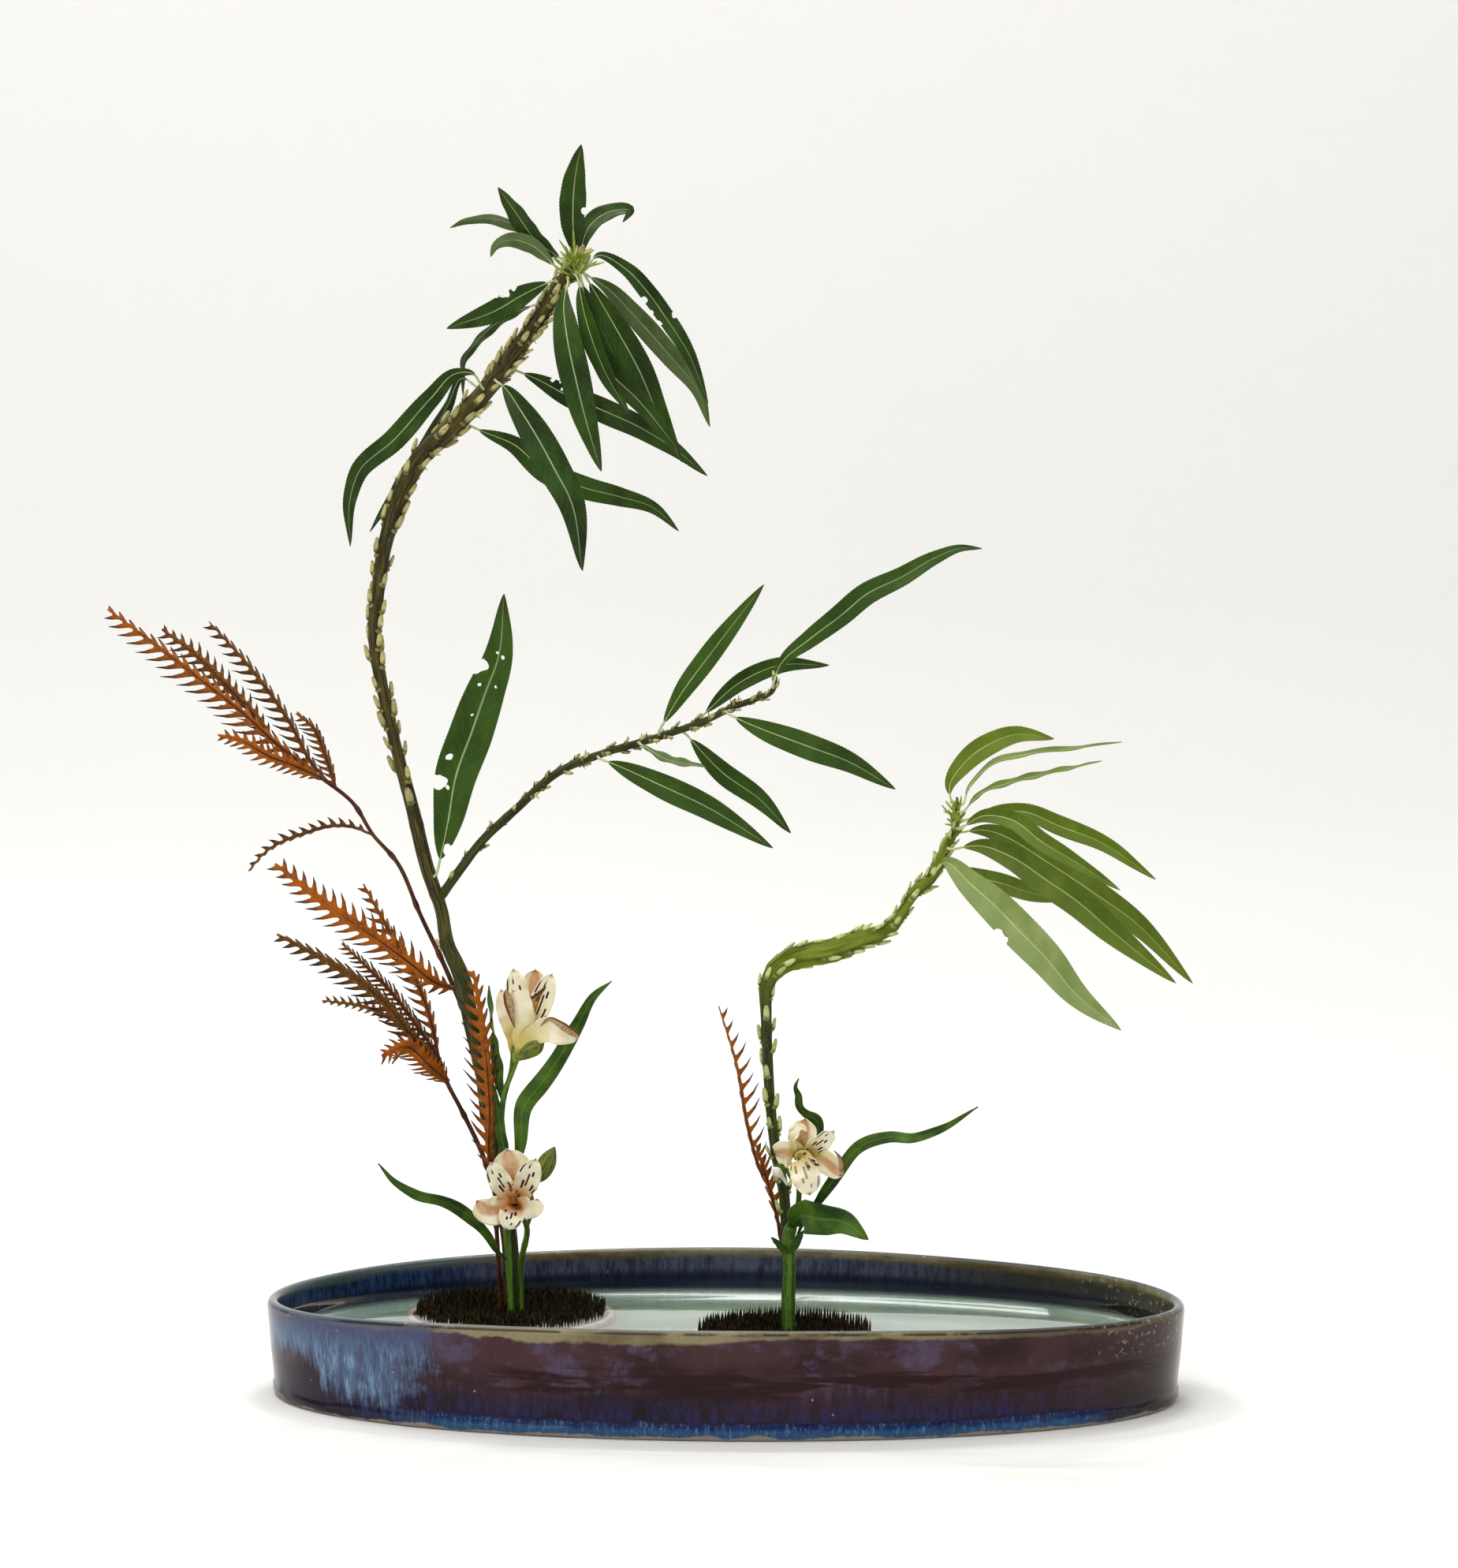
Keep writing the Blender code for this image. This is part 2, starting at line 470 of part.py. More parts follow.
def blade_mesh(name, path, across, half_widths, thickness, fold):
    """A closed thin blade: a ridge on each face along the path, and two sharp edges."""
    bm = bmesh.new()
    loops = []
    for centre, heading, side, half in zip(path, directions(path), across, half_widths):
        side = (side - heading * side.dot(heading)).normalized()
        up = side.cross(heading)
        lift = up * (fold * half)
        ridge = up * (thickness / 2)
        places = (centre + side * half + lift, centre + ridge, centre - side * half + lift, centre - ridge)
        loops.append([bm.verts.new(place) for place in places])
    first, last = loops[0], loops[-1]
    bm.faces.new((first[0], first[1], first[3]))
    bm.faces.new((first[1], first[2], first[3]))
    for lower, upper in zip(loops, loops[1:]):
        for edge in (0, 2):
            for ridge in (1, 3):
                bm.faces.new((lower[edge], upper[ridge], lower[ridge]))
                bm.faces.new((lower[edge], upper[edge], upper[ridge]))
    bm.faces.new((last[0], last[3], last[1]))
    bm.faces.new((last[1], last[3], last[2]))
    bmesh.ops.recalc_face_normals(bm, faces=bm.faces)
    return mesh_from(bm, name)


def leaf_width(t, width):
    """Half the width of a lance-shaped leaf at a share t of its length, with a thin stalk."""
    stalk = 0.6 * MM
    if t < 0.05:
        return stalk
    along = (t - 0.05) / 0.95
    return max(width / 2 * sin(pi * along ** 0.85) ** 0.75, stalk * (1.15 - t))


def make_leaf(name, leaf, stem, material):
    """One leaf with its stalk, its foot just clear of the stem that carries it."""
    points, width, roll_base, roll_tip = leaf
    rows = to_metres(points)
    rows[0] = seat_beside(rows[0], stem, GAP + 0.2 * MM)
    path = smooth_path(rows, LEAF_STATIONS)
    across = []
    half_widths = []
    for i, heading in enumerate(directions(path)):
        t = i / (LEAF_STATIONS - 1)
        roll = radians(roll_base + (roll_tip - roll_base) * t)
        flat = heading.cross(Vector((0, -1, 0))).normalized()
        facing = flat.cross(heading)
        across.append(flat * cos(roll) + facing * sin(roll))
        half_widths.append(leaf_width(t, width * MM))
    mesh = blade_mesh(name, path, across, half_widths, LEAF_THICKNESS, 0.12)
    add_object(name, mesh, material)


def frond_object(name, frond, material):
    """A toothed frond: a narrow flat midrib with saw teeth that point towards its tip."""
    points, toothed = frond
    rows = to_metres(points)
    length = path_length(rows)
    steps = 2 * max(int(length / TOOTH_SPACING), 3)
    path = smooth_path(rows, steps + 1)
    bm = bmesh.new()
    edges = []
    for i, (centre, heading) in enumerate(zip(path, directions(path))):
        half = 1.1 * MM * (1.15 - i / steps)
        side = heading.cross(Vector((0, -1, 0))).normalized()
        centre = centre + side.cross(heading) * (SPRAY_THICKNESS / 2)
        edges.append((bm.verts.new(centre + side * half), bm.verts.new(centre - side * half), side, heading))
    for i, ((a, b, side, heading), (c, d, _, _)) in enumerate(zip(edges, edges[1:])):
        bm.faces.new((a, b, d, c))
        along = i / steps
        reach = TOOTH_LENGTH * min(1.0, 0.45 + 3 * along, 0.35 + 2.2 * (1 - along))
        if i < 2:
            continue
        if i % 2 == 0 and toothed != "left":
            tip = c.co + (side * 0.62 + heading * 0.78) * reach
            bm.faces.new((a, c, bm.verts.new(tip)))
        if i % 2 == 1 and toothed != "right":
            tip = d.co + (heading * 0.78 - side * 0.62) * reach
            bm.faces.new((b, bm.verts.new(tip), d))
    bm.normal_update()
    bmesh.ops.solidify(bm, geom=bm.faces, thickness=SPRAY_THICKNESS)
    bmesh.ops.recalc_face_normals(bm, faces=bm.faces)
    return add_object(name, mesh_from(bm, name), material)


def make_spray(name, stem_points, fronds, material):
    stem = stem_object(name, stem_points, material, spacing=12 * MM, resolution=1)
    grown = [frond_object(f"{name}_frond_{i}", frond, material) for i, frond in enumerate(fronds, 1)]
    join_solids(stem, grown)


# ---------------------------------------------------------------- flowers

def tepal_object(name, foot, facing, outward, reach, width, material):
    """One petal-like tepal: out of the flower's throat, then spreading and curling back."""
    spread = [(0.06, 4), (0.12, 14), (0.32, 25), (0.7, 32), (1.0, 33)]
    rows = [foot + facing * (height * MM) + outward * (share * reach * MM) for share, height in spread]
    path = smooth_path(rows, 6)
    side = facing.cross(outward)
    half_widths = [width * MM / 2 * share for share in (0.14, 0.3, 0.6, 0.95, 1.0, 0.25)]
    mesh = blade_mesh(name, path, [side] * 6, half_widths, TEPAL_THICKNESS, 0.25)
    return add_object(name, mesh, material)


def make_flower(name, flower, stem, material):
    """An ovary with three broad outer tepals and three narrow inner ones grown on it."""
    facing, turn, outer_reach, inner_reach = flower
    facing = Vector(facing).normalized()
    end, below = Vector(stem[-1][:3]) * MM, Vector(stem[-2][:3]) * MM
    lean = sin((end - below).angle(facing))
    foot = end + facing * (OVARY_LENGTH / 2 - 5 * MM + GAP + stem[-1][3] * MM * lean)
    right = facing.cross(Vector((0, 0, 1))).normalized()
    up = right.cross(facing)
    ovary = bmesh.new()
    bmesh.ops.create_icosphere(ovary, subdivisions=2, radius=1)
    bmesh.ops.scale(ovary, verts=ovary.verts, vec=(OVARY_WIDTH / 2, OVARY_WIDTH / 2, OVARY_LENGTH / 2))
    bmesh.ops.rotate(ovary, verts=ovary.verts, cent=(0, 0, 0),
                     matrix=facing.to_track_quat("Z", "Y").to_matrix())
    bmesh.ops.translate(ovary, verts=ovary.verts, vec=foot + facing * 5 * MM)
    body = add_object(name, mesh_from(ovary, name), material)
    tepals = []
    for i in range(6):
        angle = radians(turn + 60 * i)
        outward = up * cos(angle) + right * sin(angle)
        reach, width = (outer_reach, 15) if i % 2 == 0 else (inner_reach, 10)
        tepals.append(tepal_object(f"{name}_tepal_{i + 1}", foot, facing, outward, reach, width, material))
    join_solids(body, tepals)


def make_flower_stem(name, stem_points, bud_points, material):
    stem = stem_object(name, stem_points, material)
    bud = stem_object(name + "_bud", bud_points, material, spacing=4 * MM)
    join_solids(stem, [bud])


# ---------------------------------------------------------------- the arrangement

def make_branch(name, points, side_shoot, bark):
    branch = stem_object(name, points, bark)
    if side_shoot:
        join_solids(branch, [stem_object(name + "_side_shoot", side_shoot, bark)])


def make_all():
    clear_scene()
    glaze = finish_of("stoneware_glaze", (0.10, 0.09, 0.16), 0.2)
    metal = finish_of("pin_metal", (0.12, 0.10, 0.08), 0.45, 0.9)
    rubber = finish_of("ring_rubber", (0.45, 0.38, 0.30), 0.7)
    bark = finish_of("willow_bark", (0.12, 0.13, 0.03), 0.6)
    leaf_green = finish_of("willow_leaf", (0.04, 0.12, 0.02), 0.45)
    bright_green = finish_of("young_willow_leaf", (0.13, 0.27, 0.05), 0.45)
    rust = finish_of("rust_foliage", (0.25, 0.07, 0.02), 0.6)
    stem_green = finish_of("flower_stem", (0.15, 0.30, 0.05), 0.45)
    strap_green = finish_of("strap_leaf", (0.04, 0.16, 0.02), 0.4)
    cream = finish_of("tepal_cream", (0.85, 0.76, 0.52), 0.5)

    make_bowl(glaze)
    left_feet = [stem[0] for stem in (LEFT_BRANCH, TALL_SPRAY_STEM, SHORT_SPRAY_STEM,
                                      FRONT_SPRAY_STEM, TALL_FLOWER_STEM, LOW_FLOWER_STEM)]
    right_feet = [stem[0] for stem in (RIGHT_BRANCH, RIGHT_SPRAY_STEM, RIGHT_FLOWER_STEM)]
    make_kenzan("kenzan_left", LEFT_KENZAN, LEFT_KENZAN_RADIUS, left_feet, metal)
    make_kenzan("kenzan_right", RIGHT_KENZAN, RIGHT_KENZAN_RADIUS, right_feet, metal)
    make_ring("kenzan_ring_left", LEFT_KENZAN, LEFT_KENZAN_RADIUS, rubber)
    make_ring("kenzan_ring_right", RIGHT_KENZAN, RIGHT_KENZAN_RADIUS, rubber)

    make_branch("willow_branch_left", LEFT_BRANCH, SIDE_SHOOT, bark)
    make_branch("willow_branch_right", RIGHT_BRANCH, None, bark)
    for i, leaf in enumerate(LEFT_CROWN_LEAVES, 1):
        make_leaf(f"left_crown_leaf_{i}", leaf, LEFT_BRANCH, leaf_green)
    for i, leaf in enumerate(LEFT_STEM_LEAVES, 1):
        make_leaf(f"left_stem_leaf_{i}", leaf, LEFT_BRANCH, leaf_green)
    make_leaf("fork_leaf", FORK_LEAF, LEFT_BRANCH, leaf_green)
    for i, leaf in enumerate(SIDE_SHOOT_LEAVES, 1):
        make_leaf(f"side_shoot_leaf_{i}", leaf, SIDE_SHOOT, leaf_green)
    for i, leaf in enumerate(RIGHT_CROWN_LEAVES, 1):
        make_leaf(f"right_crown_leaf_{i}", leaf, RIGHT_BRANCH, bright_green)

    make_spray("tall_spray", TALL_SPRAY_STEM, TALL_SPRAY_FRONDS, rust)
    make_spray("short_spray", SHORT_SPRAY_STEM, SHORT_SPRAY_FRONDS, rust)
    make_spray("front_spray", FRONT_SPRAY_STEM, FRONT_SPRAY_FRONDS, rust)
    make_spray("right_spray", RIGHT_SPRAY_STEM, RIGHT_SPRAY_FRONDS, rust)

    make_flower_stem("tall_flower_stem", TALL_FLOWER_STEM, TALL_STEM_BUD, stem_green)
    make_flower_stem("low_flower_stem", LOW_FLOWER_STEM, LOW_STEM_BUD, stem_green)
    make_flower_stem("right_flower_stem", RIGHT_FLOWER_STEM, RIGHT_STEM_BUD, stem_green)
    make_flower("tall_flower", TALL_FLOWER, TALL_FLOWER_STEM, cream)
    make_flower("low_flower", LOW_FLOWER, LOW_FLOWER_STEM, cream)
    make_flower("right_flower", RIGHT_FLOWER, RIGHT_FLOWER_STEM, cream)
    for name, leaf in STRAP_LEAVES.items():
        stem = {"tall": TALL_FLOWER_STEM, "low_": TALL_FLOWER_STEM, "righ": RIGHT_FLOWER_STEM}[name[:4]]
        make_leaf(name, leaf, stem, strap_green)


make_all()
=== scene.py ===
"""An ikebana arrangement: bent willow, toothed rust-brown sprays and cream alstroemeria on two pin
holders under water in an oval stoneware bowl. Metres; the front faces -Y. Plant points are in mm."""
import random
from math import cos, exp, pi, radians, sin

import bmesh
import bpy
from mathutils import Matrix, Vector, noise


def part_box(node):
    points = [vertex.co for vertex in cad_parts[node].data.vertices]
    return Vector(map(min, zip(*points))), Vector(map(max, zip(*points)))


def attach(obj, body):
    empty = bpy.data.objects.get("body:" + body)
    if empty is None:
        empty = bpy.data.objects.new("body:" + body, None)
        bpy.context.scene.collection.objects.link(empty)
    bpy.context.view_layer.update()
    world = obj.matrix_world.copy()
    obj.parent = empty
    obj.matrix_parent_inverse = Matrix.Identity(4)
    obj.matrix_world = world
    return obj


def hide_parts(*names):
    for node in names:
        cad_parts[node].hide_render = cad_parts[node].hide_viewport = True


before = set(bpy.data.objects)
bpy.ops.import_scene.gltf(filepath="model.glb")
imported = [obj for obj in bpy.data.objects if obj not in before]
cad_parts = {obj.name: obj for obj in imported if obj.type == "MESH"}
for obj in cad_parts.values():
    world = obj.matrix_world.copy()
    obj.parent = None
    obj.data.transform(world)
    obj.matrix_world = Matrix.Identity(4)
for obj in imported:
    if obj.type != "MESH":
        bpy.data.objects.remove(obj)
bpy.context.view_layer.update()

# ---------------------------------------------------------------- camera
# A long lens stands three metres off, a little above the flowers and a little to the right, so the
# bowl is seen as a narrow oval and the branches stand against the backdrop.
camera = bpy.data.objects.new("camera", bpy.data.cameras.new("camera"))
bpy.context.scene.collection.objects.link(camera)
camera.data.lens = 126.8
camera.location = (0.1521, -2.9963, 0.600)
camera.rotation_euler = (Vector((0.0024, 0, 0.3372)) - camera.location).to_track_quat("-Z", "Y").to_euler()
bpy.context.scene.camera = camera
bpy.context.scene.view_settings.view_transform = "Standard"


# ---------------------------------------------------------------- table and backdrop
# A white table runs back and turns up in a tight curve into a plain pale wall, both matt, so no
# edge shows behind the bowl and the water has something pale to mirror. The wall is clear from its
# back, so it never hides the piece from someone who walks round behind it.
def srgb(red, green, blue):
    """A colour as it looks on a screen, 0 to 255, turned into the linear values a shader takes."""
    return tuple(((c / 255 + 0.055) / 1.055) ** 2.4 if c > 10 else c / 3295 for c in (red, green, blue)) + (1.0,)


def node(tree, kind, inputs=None, **settings):
    """A shader node with its settings; each named or numbered input is set, or linked if it is a socket."""
    made = tree.nodes.new("ShaderNode" + kind)
    for name, value in settings.items():
        setattr(made, name, value)
    for name, value in (inputs or {}).items():
        if isinstance(value, bpy.types.NodeSocket):
            tree.links.new(value, made.inputs[name])
        else:
            made.inputs[name].default_value = value
    return made


def new_material(name, **values):
    """A Principled material with plain values set on it; returns it, its tree and its shader."""
    material = bpy.data.materials.new(name)
    material.use_nodes = True
    shader = material.node_tree.nodes["Principled BSDF"]
    for socket, value in values.items():
        shader.inputs[socket.replace("_", " ")].default_value = value
    return material, material.node_tree, shader


def sweep_floor():
    front, depth, half_width = -4.0, 8.6, 4.5
    bend_from, bend_run, bend = 0.6, 0.47, 0.3
    bm = bmesh.new()
    bmesh.ops.create_grid(bm, x_segments=2, y_segments=60, size=1)
    for vert in bm.verts:
        reach = (vert.co.y + 1) / 2 * depth + front
        turn = min(max((reach - bend_from) / bend_run, 0), 1) * pi / 2
        y, z = min(reach, bend_from) + bend * sin(turn), bend * (1 - cos(turn))
        vert.co = (vert.co.x * half_width, y, z + max(reach - bend_from - bend_run, 0))
    mesh = bpy.data.meshes.new("table_and_backdrop")
    bm.to_mesh(mesh)
    bm.free()
    mesh.shade_smooth()
    floor = bpy.data.objects.new("table_and_backdrop", mesh)
    bpy.context.scene.collection.objects.link(floor)
    material, tree, shader = new_material("pale_paper", Base_Color=srgb(240, 239, 236), Roughness=0.9)
    clear = node(tree, "BsdfTransparent").outputs[0]
    behind = node(tree, "NewGeometry").outputs["Backfacing"]
    seen = node(tree, "MixShader", {0: behind, 1: shader.outputs[0], 2: clear}).outputs[0]
    tree.links.new(seen, tree.nodes["Material Output"].inputs["Surface"])
    mesh.materials.append(material)


sweep_floor()


# ---------------------------------------------------------------- lights
# One broad soft light overhead and towards the left, a weaker one from the right, one that washes
# the backdrop, and two slim tubes whose glints show on the wet glaze.
def area_light(name, place, aim, size, power, colour=(1, 1, 1), height=None):
    data = bpy.data.lights.new(name, "AREA")
    data.shape = "RECTANGLE"
    data.size = size
    data.size_y = height or size
    data.energy = power
    data.color = colour
    light = bpy.data.objects.new(name, data)
    light.location = place
    light.rotation_euler = (Vector(aim) - Vector(place)).to_track_quat("-Z", "Y").to_euler()
    bpy.context.scene.collection.objects.link(light)


area_light("overhead", (-0.5, -0.7, 2.3), (0, 0, 0.2), 2.0, 30, (1, 0.98, 0.95))
area_light("right_fill", (2.2, -1.6, 1.3), (0, 0, 0.3), 1.2, 10)
area_light("front_fill", (-1.0, -2.8, 1.2), (0, 0, 0.3), 1.4, 15)
area_light("backdrop_wash", (0, -0.3, 2.6), (0, 0.7, 0.9), 2.4, 9, (1, 0.985, 0.96), 0.6)
area_light("tube_left", (-1.1, 0.8, 2.3), (0, 0, 0), 0.7, 15, height=0.04)
area_light("tube_middle", (0.1, 0.8, 2.4), (0, 0, 0), 0.5, 12, height=0.04)
world = bpy.data.worlds.new("studio")
world.use_nodes = True
sky = world.node_tree.nodes["Background"]
sky.inputs["Color"].default_value = (0.93, 0.95, 1, 1)
in_view = node(world.node_tree, "LightPath").outputs["Is Camera Ray"]
sky_light, sky_seen = 0.26, 0.9
shown = node(world.node_tree, "Mix", {0: in_view, 2: sky_light, 3: sky_seen})
world.node_tree.links.new(shown.outputs[0], sky.inputs["Strength"])
bpy.context.scene.world = world


# ---------------------------------------------------------------- bowl
# A hand-built stoneware water bowl: an oval slab floor with one upright wall and a rolled lip.
# Two glazes, a purple-brown and a runny blue, broke over each other and slid into a fat roll just
# above the bare foot.
def mix(tree, factor, first, second, blend="MIX"):
    """The second colour over the first by the factor; returns the mixed colour."""
    made = node(tree, "Mix", {0: factor, 6: first, 7: second}, data_type="RGBA", blend_type=blend)
    return made.outputs[2]


def maths(tree, operation, *values, clamp=False):
    return node(tree, "Math", dict(enumerate(values)), operation=operation, use_clamp=clamp).outputs[0]


def times(tree, product, *values):
    for value in values:
        product = maths(tree, "MULTIPLY", product, value)
    return product


def span(tree, value, low, high, out_low=0.0, out_high=1.0):
    """The value stretched smoothly from low..high to out_low..out_high and held there."""
    made = node(tree, "MapRange", {"Value": value, "From Min": low, "From Max": high, "To Min": out_low,
                                   "To Max": out_high}, interpolation_type="SMOOTHSTEP")
    return made.outputs[0]


def coats(tree, colour, *layers):
    """Layers over a colour, one after another. Each is the layer's colour and what holds it back:
    numbers, values, or (value, low, high...) for a span, all multiplied together."""
    for over, *holds in layers:
        holds = [span(tree, *hold) if isinstance(hold, tuple) else hold for hold in holds]
        colour = mix(tree, times(tree, *holds), colour, over)
    return colour


def sway(tree, unrest, amount, value):
    """The value pushed to and fro by soft noise, half the amount each way."""
    return maths(tree, "MULTIPLY_ADD", maths(tree, "SUBTRACT", unrest, 0.5), amount, value)


def carried(tree, name, output="Fac"):
    """What the mesh carries at each of its points under this name."""
    return node(tree, "Attribute", attribute_name=name).outputs[output]


def blotches(tree, where, scale, detail=3.0, rough=0.55, stretch=(1, 1, 1), shift=(0, 0, 0)):
    """Soft noise in metres, about `scale` blotches to the metre, drawn out by `stretch`."""
    placed = node(tree, "Mapping", {"Vector": where, "Scale": stretch, "Location": shift})
    made = node(tree, "TexNoise", {"Vector": placed.outputs[0], "Scale": scale, "Detail": detail,
                                   "Roughness": rough})
    return made.outputs[0]


def object_place(tree):
    return node(tree, "TexCoord").outputs["Object"]


def bump(tree, shader, height, distance, strength=1.0):
    made = node(tree, "Bump", {"Height": height, "Distance": distance, "Strength": strength})
    tree.links.new(made.outputs[0], shader.inputs["Normal"])


def colour_to(tree, shader, colour):
    tree.links.new(colour, shader.inputs["Base Color"])


def piece(bm, name, materials, nodes=(), sharp=None, outward=True):
    """Finish a bmesh as one smooth-shaded piece that stands for CAD nodes and rides the one body."""
    if outward:
        bmesh.ops.recalc_face_normals(bm, faces=bm.faces)
    mesh = bpy.data.meshes.new(name)
    bm.to_mesh(mesh)
    bm.free()
    mesh.shade_smooth()
    if sharp:
        mesh.set_sharp_from_angle(angle=radians(sharp))
    for material in materials:
        mesh.materials.append(material)
    made = bpy.data.objects.new(name, mesh)
    bpy.context.scene.collection.objects.link(made)
    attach(made, "root")
    if nodes:
        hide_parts(*nodes)
    return made


MM = 0.001
bowl_low, bowl_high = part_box("bowl")
BOWL_HALF = ((bowl_high.x - bowl_low.x) / 2, (bowl_high.y - bowl_low.y) / 2)
SQUARENESS = 2.05
RIM_LOW, RIM_RISE = 54, 6
ROLL_HEIGHT, ROLL_SPREAD, ROLL_DEPTH = 5.2, 2.6, 1.25 * MM


def oval(angle, inset, height):
    """A point on the bowl's oval, pulled in all round; a little squarer than an ellipse."""
    across, along = sin(angle), cos(angle)
    reach = (abs(along) ** SQUARENESS + abs(across) ** SQUARENESS) ** (-1 / SQUARENESS)
    return Vector((along * reach * (BOWL_HALF[0] - inset), across * reach * (BOWL_HALF[1] - inset), height))


def rim_height(angle):
    """The lip rises 6 mm from the ends to the middle of the long sides, and wavers by hand."""
    waver = 0.35 * sin(3 * angle + 1) + 0.25 * sin(7 * angle + 4)
    return (RIM_LOW + RIM_RISE * sin(angle) ** 2 - 0.5 + waver * 0.8) * MM


def glaze_roll(angle, height):
    """How far the run glaze stands out near the foot: a fat roll with drips of uneven depth."""
    drip = 1.3 * noise.noise(Vector((cos(angle) * 7, sin(angle) * 7, 3))) * 2
    drip += 1.5 * max(0, noise.noise(Vector((cos(angle) * 15, sin(angle) * 15, 8)))) ** 2 * 6
    return ROLL_DEPTH * exp(-((height / MM - ROLL_HEIGHT + drip) / ROLL_SPREAD) ** 2)


def unit_ring(bm, segments):
    """A ring of unit radius, still flat: its corners and its edges in order."""
    verts = bmesh.ops.create_circle(bm, segments=segments, radius=1)["verts"]
    return verts, list(dict.fromkeys(edge for vert in verts for edge in vert.link_edges))


def angle_round(vert):
    return -Vector((1, 0)).angle_signed(vert.co.xy)


def skin_rings(bm, rings):
    """Join rings into one closed skin; returns the last cap."""
    for lower, upper in zip(rings, rings[1:]):
        bmesh.ops.bridge_loops(bm, edges=lower + upper)
    bmesh.ops.contextual_create(bm, geom=rings[0])
    return bmesh.ops.contextual_create(bm, geom=rings[-1])["faces"]


def build_bowl():
    """Rings of the profile: (inset, height above the foot or drop below the lip, step up the wall)."""
    outside = [(6, 0, 0), (5.2, 0.2, 0.0), (4.6, 1.0, 0.0), (4.3, 2.0, 0.02), (4.2, 3.0, 0.04), (4.1, 4.0, 0.06),
               (4.0, 5.0, 0.08), (3.9, 6.2, 0.10), (3.8, 7.5, 0.13), (3.6, 9.0, 0.16), (3.3, 12.0, 0.21),
               (3.0, 16.0, 0.28), (2.5, 21.0, 0.37), (1.9, 27.0, 0.48), (1.3, 33.0, 0.59), (0.8, 39.0, 0.70)]
    lip = [(0.35, -10, 0.81), (0.1, -6, 0.88), (0.0, -3.6, 0.93), (0.25, -2.2, 0.96), (0.9, -1.0, 0.98),
           (2.0, -0.25, 0.99), (3.2, 0, 1.0), (4.5, -0.3, 1.01), (5.5, -1.0, 1.02), (6.1, -2.0, 1.03),
           (6.5, -3.4, 1.06), (6.6, -6, 1.1), (6.9, -12, 1.2), (7.6, -22, 1.4), (8.6, -32, 1.6)]
    inside = [(10.2, 19.0, 1.72), (10.8, 16.0, 1.78), (12.0, 13.8, 1.82), (14.0, 12.5, 1.86),
              (17.5, 12.1, 1.9), (30, 12.0, 1.95), (60, 11.9, 2.0), (100, 11.8, 2.0)]
    bm = bmesh.new()
    rise = bm.verts.layers.float.new("up_wall")
    rings = []
    for inset, height, step in outside + lip + inside:
        verts, edges = unit_ring(bm, 220)
        for vert in verts:
            angle = angle_round(vert)
            if (inset, height, step) in lip:
                tall = rim_height(angle) + height * MM
            else:
                tall = height * MM
            out = glaze_roll(angle, tall) if step < 0.3 and height > 0.5 else 0
            wobble = 0.25 * MM * noise.noise(Vector((cos(angle) * 2, sin(angle) * 2, tall * 60)))
            vert.co = oval(angle, inset * MM - out + 0.3 * MM + wobble, tall)
            vert[rise] = step
        rings.append(edges)
    skin_rings(bm, rings)
    return bm


